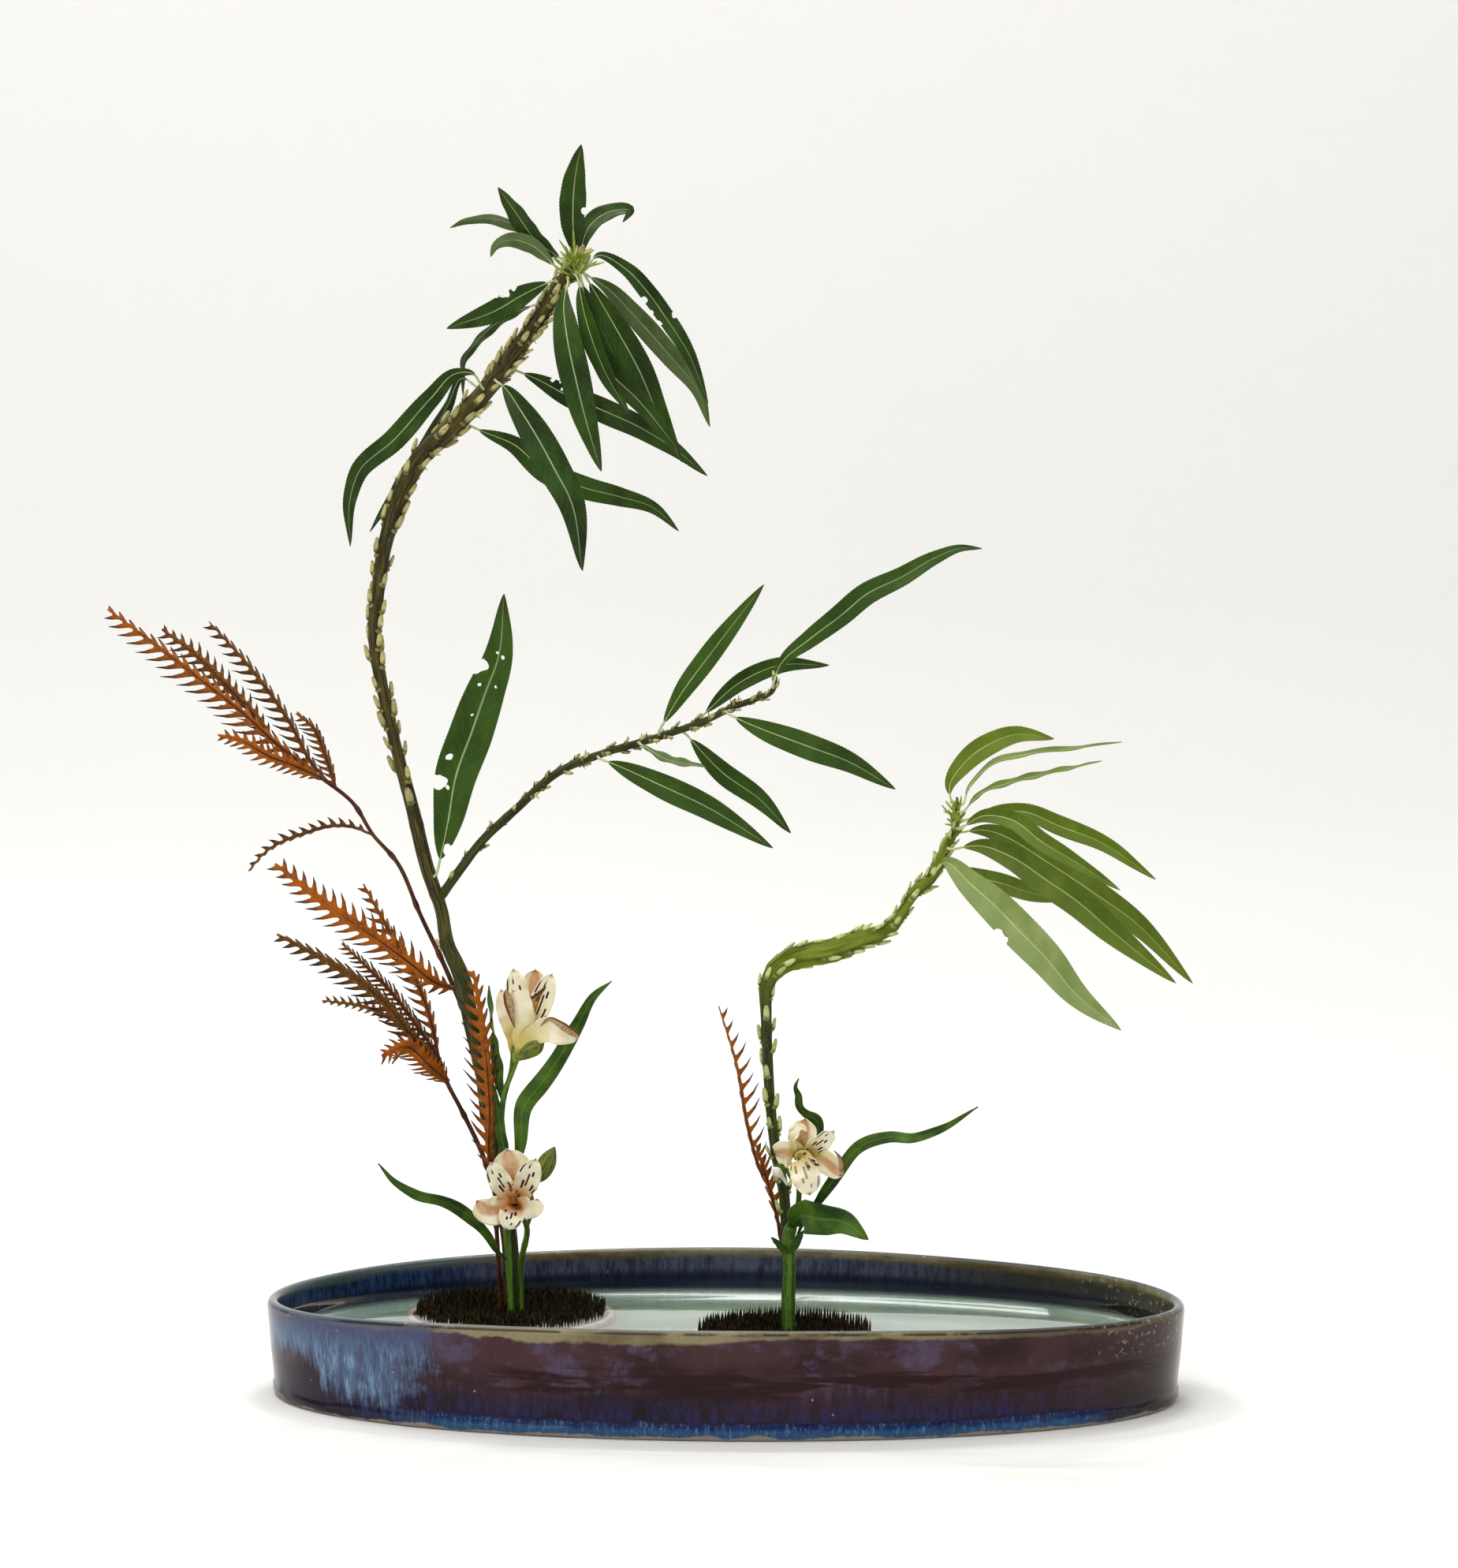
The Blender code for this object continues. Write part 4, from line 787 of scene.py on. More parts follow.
old_bark = stem_material("willow_bark_old", srgb(34, 31, 5), srgb(96, 86, 26), srgb(118, 106, 52), 1.0, 0.55,
                         srgb(40, 62, 6), (0.27, 0.20))
cream_buds = bud_material("cream_willow_buds", srgb(92, 84, 30), srgb(206, 198, 134), srgb(170, 150, 84),
                          srgb(46, 34, 14))
add_branch("tall_willow_wood", "willow_branch_left", [
    (LEFT_BRANCH, 0.12, (0, 0, 1), [(120, 296, 38, 5.0, 2.8, 0.2, 8), (312, 470, 5.2, 9.0, 4.1, 0.3, 10),
                                    (474, 560, 3.4, 8.6, 3.8, 0.5, 14), (562, 668, 1.9, 7.8, 3.2, 0.55, 18)],
     [205, 258, 298], 3),
    (SIDE_SHOOT, 0.06, (0, 0, 1), [(14, 70, 9, 4.6, 2.6, 1.0, 24), (74, 200, 4.6, 5.0, 2.8, 0.95, 24),
                                   (202, 236, 3.5, 4.6, 2.4, 0.6, 22)], [4, 60, 120], 8),
], old_bark, cream_buds)


# ---------------------------------------------------------------- low willow branch
# A younger willow shoot stands upright on the right, then is creased over flat to the right and
# turned up again. It is fresher green, with pale green-cream buds on all sides.
RIGHT_BRANCH = [
    (34, -24, 22.6, 2.7), (35, -24, 97, 2.9), (33, -24, 120, 2.9), (30, -25, 135, 2.9),
    (27, -26, 156, 2.8), (25, -27, 186, 2.8), (24, -29, 215, 2.9), (24, -30, 229, 3.2),
    (28, -31, 238, 4.0), (35, -32, 244, 4.8), (46, -32, 248, 5.4), (58, -32, 250, 5.8),
    (75, -33, 256, 5.2), (86, -34, 260, 4.4), (92, -34, 263, 3.6), (98, -35, 272, 2.8),
    (106, -36, 284, 3.0), (113, -36, 290, 3.1), (117, -37, 297, 3.0), (122, -37, 308, 2.6),
    (126, -38, 317, 2.1), (127, -38, 328, 1.5), (127, -38, 334, 0.6)]

young_bark = stem_material("willow_bark_young", srgb(22, 30, 2), srgb(72, 84, 14), srgb(126, 130, 58), 1.0, 0.5,
                           srgb(138, 156, 16), (0.19, 0.235))
green_buds = bud_material("pale_green_willow_buds", srgb(104, 112, 34), srgb(214, 218, 146), srgb(190, 188, 110),
                          srgb(34, 34, 12))
add_branch("low_willow_wood", "willow_branch_right", [
    (RIGHT_BRANCH, 0.12, (0.42, 0.250, 0.040), [
        (84, 205, 5.0, 8.0, 3.5, 0.35, 11), (208, 300, 2.9, 8.0, 3.1, 0.15, 12),
         (303, 355, 2.3, 6.6, 2.8, 0.35, 20)],
     [75, 207, 218, 298], 11),
], young_bark, green_buds)


# ---------------------------------------------------------------- young tips
# Where each branch was topped, a tuft of very young leaf tips and stalk feet crowds round the end.
# They are soft and pale yellow-green.
tips = bmesh.new()
chance = random.Random(17)
for x, y, z, count, length in ((-79, -26, 617, 24, 17), (126, -38, 323, 13, 10)):
    for turn in range(count * 2):
        angle = turn * SPIRAL_TURN
        out = Vector((cos(angle), sin(angle), 0))
        foot = Vector((x, y, z + chance.uniform(-6, 4))) * MM + out * 0.8 * MM
        add_bud(tips, foot, out, Vector((0, 0, 1)), length * chance.uniform(0.45, 1.1) * MM, 2.0 * MM,
                radians(chance.uniform(12, 75)), chance.uniform(0, 0.25), bend=chance.uniform(-4.0, 2.0) * MM)
piece(tips, "young_willow_tips", [bud_material("young_tip_green", srgb(70, 92, 14), srgb(150, 170, 58),
                                               srgb(176, 186, 92), srgb(60, 50, 20))])


# ---------------------------------------------------------------- willow leaves
# Lance-shaped leaves on thin curved stalks, dark and slightly folded, with a pale raised midrib,
# faint side veins and a fine saw edge. Insects and handling have left bites, holes and curled tips.
CROWN_LEAVES = [
    ([(-79, -26, 622), (-80, -28, 643), (-79, -30, 662), (-75, -34, 683)], 14.5, 0, 10),
    ([(-85, -29, 621), (-101, -34, 634), (-110, -38, 647), (-119, -42, 660)], 12, 35, 15),
    ([(-88, -20, 620), (-111, -12, 640), (-129, -6, 644), (-140, -2, 643),
      (-149, 0, 639)], 10, 60, 50),
    ([(-88, -30, 617), (-103, -36, 630), (-113, -40, 632), (-120, -43, 629),
      (-123, -44, 623)], 9, 30, -20),
    ([(-78, -21, 621), (-71, -14, 641), (-60, -8, 648), (-51, -4, 648), (-55, -2, 642)], 11, 15, 40),
    ([(-90, -31, 611), (-106, -38, 603), (-119, -46, 595), (-145, -60, 585)], 12.5, 10, 0),
    ([(-100, -18, 598), (-112, -12, 594), (-123, -8, 588), (-134, -6, 578), (-141, -5, 569),
      (-142, -4, 548)], 9, 60, 70),
    ([(-82, -33, 611), (-84, -40, 599), (-82, -48, 582), (-77, -52, 559), (-72, -54, 539),
      (-63, -56, 509)], 16.5, 5, -5),
    ([(-77, -33, 612), (-73, -40, 593), (-62, -46, 563), (-48, -50, 539)], 11, -20, -30),
    ([(-77, -18, 612), (-65, -8, 582), (-50, -4, 552), (-40, -2, 535)], 10, -10, -20),
    ([(-76, -29, 614), (-69, -33, 581), (-60, -34, 562), (-45, -34, 547),
      (-23, -36, 520)], 13, 15, 10),
    ([(-75, -22, 615), (-57, -20, 584), (-45, -19, 562), (-36, -19, 541),
      (-22, -20, 513)], 15.5, 0, 5),
    ([(-76, -14, 615), (-62, 2, 605), (-51, 10, 593), (-29, 15, 568), (-16, 17, 552),
      (-9, 18, 531)], 12, 20, 0),
    ([(-73, -25, 618), (-67, -16, 624), (-52, -10, 616), (-42, -6, 605), (-30, -3, 588),
      (-21, -1, 574), (-9, 2, 544)], 10, 25, 10)]
STEM_LEAVES = [
    ([(-114, -15, 563), (-99, -2, 556), (-89, 6, 550), (-67, 16, 540), (-48, 22, 531), (-29, 26, 519),
      (-11, 30, 504)], 13.5, 0, 0),
    ([(-122, -29, 557), (-116, -36, 553), (-107, -43, 541), (-96, -49, 524), (-87, -53, 508),
      (-80, -55, 495), (-73, -58, 456)], 17.5, 0, 0),
    ([(-139, -12, 533), (-131, -6, 529), (-115, 1, 522), (-98, 7, 507), (-77, 12, 498), (-58, 16, 493),
      (-40, 19, 487), (-26, 21, 474)], 13, 5, 0),
    ([(-129, -29, 553), (-134, -34, 561), (-142, -38, 561), (-155, -44, 548), (-174, -52, 526),
      (-193, -58, 508), (-197, -60, 495), (-197, -62, 469)], 12, 20, -10),
    ([(-133, -13, 553), (-142, -8, 558), (-150, -4, 544), (-158, -2, 530), (-174, 1, 507),
      (-194, 4, 474)], 9, 50, 45)]
FORK_LEAF = ([(-158, 0, 286), (-151, -6, 316), (-146, -10, 342), (-137, -14, 366), (-129, -18, 388),
              (-122, -21, 406), (-118, -26, 442)], 24, 0, 0)
SHOOT_LEAVES = [
    ([(-35, -18, 367), (-21, -24, 390), (-7, -28, 409), (23, -36, 448)], 11.5, 10, 0),
    ([(-13, -15, 374), (10, -8, 394), (29, -2, 402), (57, 4, 402)], 10, 10, 0),
    ([(27, -31, 392), (32, -35, 405), (48, -38, 419), (65, -41, 432), (78, -43, 443), (98, -45, 453),
      (115, -46, 463), (128, -46, 468), (140, -46, 468)], 12.5, 10, 20),
    ([(2, -26, 378), (11, -29, 374), (46, -34, 361), (68, -36, 353), (94, -38, 338)], 14, 0, 0),
    ([(-21, -13, 366), (0, -4, 343), (19, 0, 329), (36, 4, 310)], 12, 10, 0),
    ([(-68, -14, 352), (-61, -18, 350), (-34, -26, 339), (-7, -32, 327), (28, -38, 306)], 14, 0, 0),
    ([(-46, -18, 361), (-30, -30, 353), (-8, -42, 350)], 9, 70, 65)]
LOW_CROWN_LEAVES = [
    ([(124, -41, 331), (123, -43, 340), (130, -46, 352), (145, -50, 364), (158, -53, 369),
      (179, -56, 367)], 12, 10, 5),
    ([(130, -34, 329), (134, -26, 339), (146, -18, 350), (164, -12, 355), (183, -7, 357),
      (216, 0, 361)], 9, 72, 80),
    ([(130, -42, 326), (141, -54, 338), (156, -62, 344), (170, -67, 348), (185, -72, 352),
      (204, -76, 357)], 9, 70, 80),
    ([(130, -37, 321), (147, -38, 326), (164, -38, 326), (181, -38, 319), (202, -38, 311),
      (234, -38, 290)], 11, 25, 20),
    ([(128, -42, 317), (143, -58, 326), (158, -69, 324), (172, -76, 314), (186, -80, 306),
      (214, -84, 289)], 10.5, 15, 10),
    ([(126, -32, 314), (143, -16, 314), (181, 0, 292), (204, 8, 276), (222, 12, 263),
      (256, 18, 227)], 15.5, 0, 0),
    ([(123, -42, 306), (141, -52, 309), (158, -58, 303), (175, -62, 292), (190, -64, 282),
      (209, -66, 266), (244, -70, 238)], 16.5, 0, 0),
    ([(121, -34, 298), (131, -20, 291), (153, -10, 284), (170, -4, 278), (191, 2, 274)], 11, 10, 0),
    ([(115, -41, 294), (121, -50, 300), (135, -59, 289), (149, -64, 277), (160, -67, 266),
      (175, -70, 251), (190, -72, 233), (215, -74, 213)], 19.5, 0, 0)]
# Bites: leaf name -> (share of the length, side -1..1 of the half width, radius in mm).
BITES = {
    "left_crown_leaf_1": [(0.42, 1.05, 2.6), (0.37, 1.15, 2.0)],
    "left_crown_leaf_6": [(0.42, 1.1, 3.4), (0.33, 1.1, 2.2), (0.50, 1.25, 2.4)],
    "left_crown_leaf_14": [(0.42, 1.1, 2.6), (0.55, 1.2, 2.2), (0.49, 1.25, 2.0), (0.56, -1.05, 1.8)],
    "left_stem_leaf_1": [(0.20, -0.85, 1.5), (0.27, -0.45, 1.6), (0.24, -1.0, 1.3), (0.33, -0.7, 1.2)],
    "fork_leaf": [(0.735, -0.9, 4.9), (0.41, -0.55, 1.9), (0.325, -0.78, 4.1), (0.31, -0.3, 1.2), (0.10, 0.95, 3.2),
                  (0.677, -0.45, 1.0), (0.69, 0.4, 0.9), (0.57, -0.25, 0.8), (0.79, 0.3, 1.1), (0.80, -0.15, 0.9)],
    "right_crown_leaf_9": [(0.43, 1.0, 3.2), (0.46, 0.9, 1.8)],
}
# Leaves that have turned their duller, greyer underside to the viewer.
UNDERSIDE_UP = ("left_crown_leaf_3", "left_crown_leaf_4", "left_crown_leaf_13", "side_shoot_leaf_7",
                "right_crown_leaf_9")


def leaf_half_width(share, width):
    """A thin stalk, then a blade that widens quickly and draws out to a long point."""
    if share < 0.06:
        return 0.35 * MM
    along = (share - 0.06) / 0.94
    return max(width / 2 * sin(pi * along ** 0.85) ** 0.75, 0.35 * MM * (1.15 - share))


def leaf_grid(columns, rows, bites, length, width):
    """A flat blade: a grid with UVs, x -1..1 across and y 0..1 along, with the bites cut out."""
    bm = bmesh.new()
    bm.loops.layers.uv.new("blade")
    bmesh.ops.create_grid(bm, x_segments=columns, y_segments=rows, size=1, calc_uvs=True)
    for vert in bm.verts:
        vert.co.y = (vert.co.y + 1) / 2

    def flat(co):
        return Vector((co.x * leaf_half_width(co.y, width), co.y * length))

    for share, side, radius in bites:
        centre = Vector((side * leaf_half_width(share, width), share * length))
        gone = [face for face in bm.faces if (flat(face.calc_center_median()) - centre).length < radius * MM]
        bmesh.ops.delete(bm, geom=gone, context="FACES")
        for vert in bm.verts:
            off = flat(vert.co) - centre
            if vert.is_boundary and off.length < radius * MM * 1.6 and abs(vert.co.x) < 0.99:
                ragged = 0.5 * noise.noise(Vector((off.x, off.y, share)) * 900 / radius)
                near = centre + off.normalized() * radius * MM * (1 + ragged)
                half = max(leaf_half_width(vert.co.y, width), 0.5 * MM)
                vert.co.x = min(max(near.x / half, -1), 1)
                vert.co.y = min(max(near.y / length, 0), 1)
    return bm


LEAF_STEP = 0.9 * MM


def add_blade(name, cad_node, leaf, skins, columns=12, bites=(), fold=0.2, wave=0.5, saw=0.22, profile=None,
              thickness=0.35, rib=0.30, seed=0, shades=(0, 1), carrier=None):
    """Lay a flat blade along its path; skins are the upper face, the underside and the rib. The
    stalk runs on into the carrier, the stem's own places."""
    points, width, roll_base, roll_tip = leaf
    path = smooth_path(points, LEAF_STEP)
    places = stations(path)
    length = places[-1][5]
    chance = random.Random(seed)
    phase, waves = chance.uniform(0, 6), chance.uniform(3, 5)
    profile = profile or leaf_half_width
    bm = leaf_grid(columns, len(path) - 1, bites, length, width * MM)
    tone = bm.verts.layers.float.new("tone")
    dark = chance.uniform(*shades)
    for vert in bm.verts:
        share, across = vert.co.y, vert.co.x
        vert[tone] = dark
        at = share * (len(places) - 1)
        low = min(int(at), len(places) - 2)
        blend = at - low
        centre = places[low][0].lerp(places[low + 1][0], blend)
        heading = places[low][1].lerp(places[low + 1][1], blend).normalized()
        roll = radians(roll_base + (roll_tip - roll_base) * share)
        flat = heading.cross(Vector((0, -1, 0))).normalized()
        facing = flat.cross(heading)
        side = flat * cos(roll) + facing * sin(roll)
        up = side.cross(heading)
        half = profile(share, width * MM)
        teeth = saw * MM * (0.5 if round(at) % 2 else -0.5) * min(1, half / (3 * MM)) * (abs(across) > 0.97)
        curl = wave * MM * sin(share * 2 * pi * waves + phase + (1.3 if across > 0 else 0)) * across ** 2
        curl *= min(1, half / (3 * MM))
        lift = abs(across) * half * fold * (0.6 + 0.4 * abs(across)) + curl
        vert.co = centre + side * (across * half + (teeth if across > 0 else -teeth)) + up * lift
    bmesh.ops.recalc_face_normals(bm, faces=bm.faces)
    middle = min(bm.faces, key=lambda face: (face.calc_center_median() - places[len(places) // 2][0]).length)
    _, heading, flat, facing, _, _ = places[len(places) // 2]
    roll = radians((roll_base + roll_tip) / 2)
    if middle.normal.dot((flat * cos(roll) + facing * sin(roll)).cross(heading)) < 0:
        bmesh.ops.reverse_faces(bm, faces=bm.faces)
    blade = piece(bm, name, skins[:2], [cad_node] if cad_node else [], outward=False)
    shell = blade.modifiers.new("thickness", "SOLIDIFY")
    shell.thickness, shell.offset, shell.material_offset = thickness * MM, 0, 1
    if rib:
        stalk = bmesh.new()
        line = [Vector((*place[0], max(rib * MM * (2.3 if place[5] < 0.06 * length else 1.25 - place[5] / length),
                                       0.1 * MM))) for place in places[::2]]
        if carrier:
            root = min(carrier, key=lambda place: (place[0] - places[0][0]).length)
            off = places[0][0] - root[0]
            inside = root[0] + off.normalized() * min(root[4] * 0.5, off.length * 0.5)
            line = [Vector((*inside, rib * 3.4 * MM)), Vector((*inside.lerp(line[0].xyz, 0.6), rib * 2.8 * MM)),
                    *line[1:]]
        line = [row / MM for row in line]
        add_tube(stalk, smooth_path(line, 2 * MM), 8)
        piece(stalk, name + "_rib", [skins[2]])


def off_middle(tree, value):
    """How far a value stands from the middle of its own whole step."""
    return maths(tree, "ABSOLUTE", maths(tree, "SUBTRACT", maths(tree, "FRACT", value), 0.5))


def leaf_vein_marks(group, inside):
    """From a blade's UV: the midrib, slanting side veins, the half that takes painted sheen, and soft cloudy
    patches.
    """
    split = node(group, "SeparateXYZ", {"Vector": inside["Blade"]}).outputs
    across = maths(group, "MULTIPLY_ADD", split["X"], 2.0, -1.0)
    off = maths(group, "ABSOLUTE", across)
    warp = blotches(group, inside["Place"], 90, 2, 0.5)
    phase = maths(group, "SUBTRACT", times(group, split["Y"], inside["Veins"]),
                  times(group, off, inside["Slant"]))
    phase = maths(group, "ADD", phase, times(group, maths(group, "GREATER_THAN", across, 0.0), 0.5))
    phase = maths(group, "ADD", phase, times(group, warp, 0.9))
    near = off_middle(group, phase)
    return {"Midrib": span(group, off, 0.07, 0.025), "Vein": span(group, near, 0.10, 0.02),
            "Half": span(group, across, -0.05, 0.05),
            "Cloud": blotches(group, inside["Place"], 55, 4, 0.6, stretch=(1, 1, 0.6)), "Along": split["Y"]}


leaf_veins = new_group("leaf_veins", {"Blade": "Vector", "Veins": "Float", "Slant": "Float", "Place": "Vector"},
                       leaf_vein_marks)


def blade_place(tree):
    return node(tree, "UVMap", uv_map="blade").outputs[0]


def leaf_skin(name, dark, light, rib, sheen, rough, veins=19.0, tip=None):
    material, tree, shader = new_material(name, Roughness=rough, Specular_IOR_Level=0.2)
    marks = node(tree, "Group", {"Blade": blade_place(tree), "Veins": veins,
                                 "Slant": 2.2, "Place": object_place(tree)}, node_tree=leaf_veins).outputs
    tone = carried(tree, "tone")
    body = maths(tree, "ADD", span(tree, marks["Cloud"], 0.3, 0.7, 0, 0.55), times(tree, tone, 0.45))
    colour = coats(tree, dark,
        (light, body),
        # Painted light: the sheen colour lies over one half of the blade, as if that half of the fold caught the
        # light, and over the palest cloudy patches as a painted sheen.
        (sheen, marks["Half"], 0.22),
        (rib, marks["Vein"], 0.035),
        (sheen, (marks["Cloud"], 0.54, 0.75, 0, 0.45)))
    if tip:
        colour = mix(tree, span(tree, marks["Along"], 0.86, 1.0, 0, 0.7), colour, tip)
    colour = mix(tree, times(tree, marks["Midrib"], 0.55), colour, rib)
    colour_to(tree, shader, colour)
    fine = blotches(tree, object_place(tree), 1500, 2, 0.5)
    height = maths(tree, "ADD", times(tree, marks["Vein"], -0.2), times(tree, fine, 0.35))
    bump(tree, shader, height, 0.00025, 0.7)
    tree.links.new(span(tree, marks["Cloud"], 0.3, 0.7, rough + 0.1, rough - 0.08), shader.inputs["Roughness"])
    return material


def rib_skin(name, stalk, light):
    material, tree, shader = new_material(name, Roughness=0.45)
    skin = stem_marks(tree, 2.0)[1]
    colour_to(tree, shader, mix(tree, span(tree, skin["Streak"], 0.35, 0.65), stalk, light))
    return material


dark_leaf = [
    leaf_skin("willow_leaf_upper", srgb(12, 32, 1), srgb(58, 90, 8), srgb(176, 190, 138), srgb(56, 84, 28), 0.5,
              tip=srgb(48, 54, 12)),
    leaf_skin("willow_leaf_underside", srgb(58, 78, 34), srgb(98, 118, 66), srgb(156, 168, 110), srgb(120, 134, 98),
              0.65),
    rib_skin("willow_leaf_rib", srgb(150, 168, 92), srgb(206, 214, 168))]
bright_leaf = [
    leaf_skin("young_willow_leaf_upper", srgb(66, 88, 6), srgb(104, 126, 24), srgb(176, 194, 104),
              srgb(128, 148, 74), 0.48, tip=srgb(110, 116, 30)),
    leaf_skin("young_willow_leaf_underside", srgb(104, 128, 56), srgb(144, 162, 92), srgb(188, 200, 136),
              srgb(164, 176, 132), 0.65),
    rib_skin("young_willow_leaf_rib", srgb(170, 184, 90), srgb(214, 222, 160))]
for group_name, leaves, skins, slot, shades, stem in (
        ("left_crown_leaf_", CROWN_LEAVES, dark_leaf, "willow_leaf", (0, 0.7), LEFT_BRANCH),
        ("left_stem_leaf_", STEM_LEAVES, dark_leaf, "willow_leaf", (0, 0.6), LEFT_BRANCH),
        ("side_shoot_leaf_", SHOOT_LEAVES, dark_leaf, "willow_leaf", (0.7, 1.4), SIDE_SHOOT),
        ("right_crown_leaf_", LOW_CROWN_LEAVES, bright_leaf, "young_willow_leaf", (0.3, 1.3), RIGHT_BRANCH)):
    carrier = stations(smooth_path(stem, 2 * MM))
    for number, leaf in enumerate(leaves, 1):
        cad_node = group_name + str(number)
        bites = BITES.get(cad_node, ())
        faces = [skins[1], skins[0], skins[2]] if cad_node in UNDERSIDE_UP else skins
        add_blade("blade_" + cad_node, cad_node, leaf, faces, columns=18 if bites else 12, bites=bites,
                  seed=number + len(leaves) * 31, shades=shades, carrier=carrier)
add_blade("blade_fork_leaf", "fork_leaf", FORK_LEAF, dark_leaf, columns=30, bites=BITES["fork_leaf"],
          wave=0.9, seed=5, shades=(0.9, 1), carrier=stations(smooth_path(LEFT_BRANCH, 2 * MM)))


# ---------------------------------------------------------------- rust-brown sprays
# Dried toothed fronds on wiry stems. Each frond is a thin leathery strip along its midrib with
# hooked teeth that point to its tip; the edges have rolled under and gone nearly black.

# Each spray is its stem and its fronds. A frond: points, tooth pitch, strip width, then length and
# fold of left and right teeth, and tone.
SPRAYS = {
    "tall_spray": ([ (-116, 32, 22.6, 1.5), (-120, 30, 95, 1.4), (-126, 28, 125, 1.4), (-134, 27, 144, 1.4),
        (-138, 25, 171, 1.3), (-141, 24, 193, 1.3), (-153, 21, 227, 1.3), (-169, 17, 263, 1.2),
        (-182, 14, 293, 1.2), (-194, 12, 307, 1.1), (-205, 10, 325, 1.1), (-222, 8, 339, 1.1)], [
        ([(-222, 8, 339), (-247, 2, 359), (-260, -2, 372), (-281, -8, 390), (-309, -16, 413), (-334, -24, 433)],
         7.2, 2.6, 14, 10, 8, 70, 0.3),
        ([(-247, 2, 359), (-260, 3, 376), (-273, 6, 389), (-293, 10, 408), (-310, 12, 420)], 5.6, 3.6, 11, 5, 7, 40,
         0.7),
        ([(-217, 9, 335), (-229, 14, 348), (-240, 20, 367), (-262, 28, 396), (-287, 34, 423)], 6.6, 1.8, 11, 10, 9,
         82, 0.8),
        ([(-214, 9, 333), (-219, -2, 353), (-225, -10, 369), (-233, -14, 376)], 4.4, 2.2, 7.5, 0, 5, 80, 0.6),
        ([(-222, 8, 339), (-236, -6, 347), (-249, -14, 353), (-261, -20, 361), (-274, -26, 365)], 5.0, 4.2, 6, 10,
         6.5, 20, 0.15),
        ([(-194, 12, 307), (-206, 18, 311), (-218, 24, 311), (-232, 30, 307), (-257, 37, 295), (-267, 40, 284)],
         6.0, 1.5, 4, 82, 5.5, 20, 0.75),
        ([(-150, 21.5, 221), (-160, 10, 226), (-173, 0, 238), (-185, -6, 248), (-215, -18, 271), (-243, -28, 295)],
         6.8, 5.2, 11, 5, 10, 15, 0.0)]),
    "short_spray": ([ (-123, 36, 22.6, 1.4), (-127, 33, 93, 1.3), (-135, 31, 124, 1.3), (-148, 29, 153, 1.2),
        (-156, 28, 169, 1.2), (-161, 28, 184, 1.1)], [
        ([(-160, 28, 182), (-166, 32, 206), (-174, 35, 226), (-193, 39, 259), (-203, 41, 277)], 6.4, 2.6, 10, 5, 6,
         75, 0.45),
        ([(-160, 28, 182), (-171, 20, 200), (-184, 14, 219), (-198, 8, 235), (-211, 4, 248)], 3.6, 1.8, 8, 10, 6,
         70, 0.7),
        ([(-159, 28, 176), (-171, 14, 192), (-184, 3, 212), (-196, -5, 225), (-226, -17, 246), (-243, -23, 256)],
         6.6, 4.2, 10, 10, 6, 78, 0.85),
        ([(-160, 28, 181), (-172, 38, 189), (-187, 47, 200), (-202, 53, 206), (-229, 62, 209)], 4.6, 2.0, 5, 40, 6,
         15, 0.8),
        ([(-155, 28, 168), (-164, 16, 179), (-176, 6, 191), (-188, -4, 187)], 3.8, 6.6, 8, 10, 7, 15, 0.1)]),
    "front_spray": ([ (-125, 16, 22.6, 1.2), (-126, 14, 70, 1.2), (-127, 11, 95, 1.2), (-127, 7, 115, 1.1),
        (-130, 2, 131, 1.1)], [
        ([(-128, 5, 122), (-130, 1, 136), (-129, -2, 150), (-130, -4, 178), (-132, -6, 199), (-137, -9, 235)], 7.0,
         4.0, 14, 10, 8, 60, 0.25)]),
    "right_spray": ([(33, -15, 22.6, 1.2), (34, -14, 76, 1.2), (30, -10, 97, 1.1)], [
        ([(31, -11, 93), (27, -7, 111), (19, -3, 127), (13, 2, 147), (6, 10, 182), (-4, 16, 213)], 8.0, 1.7, 3, 85,
         11, 5, 0.3),
        ([(31, -11, 93), (28, -14, 107), (24, -17, 122), (18, -21, 142)], 7.4, 1.8, 5, 70, 6, 20, 0.4)])}


# A tooth in three steps: reach, share of the width that is left, bend towards the tip, dark edge.
TOOTH_STEPS = ((0.16, 0.66, 0.70, 0.45), (0.6, 0.42, 1.0, 0.6), (1.0, 0.03, 1.3, 1.0))


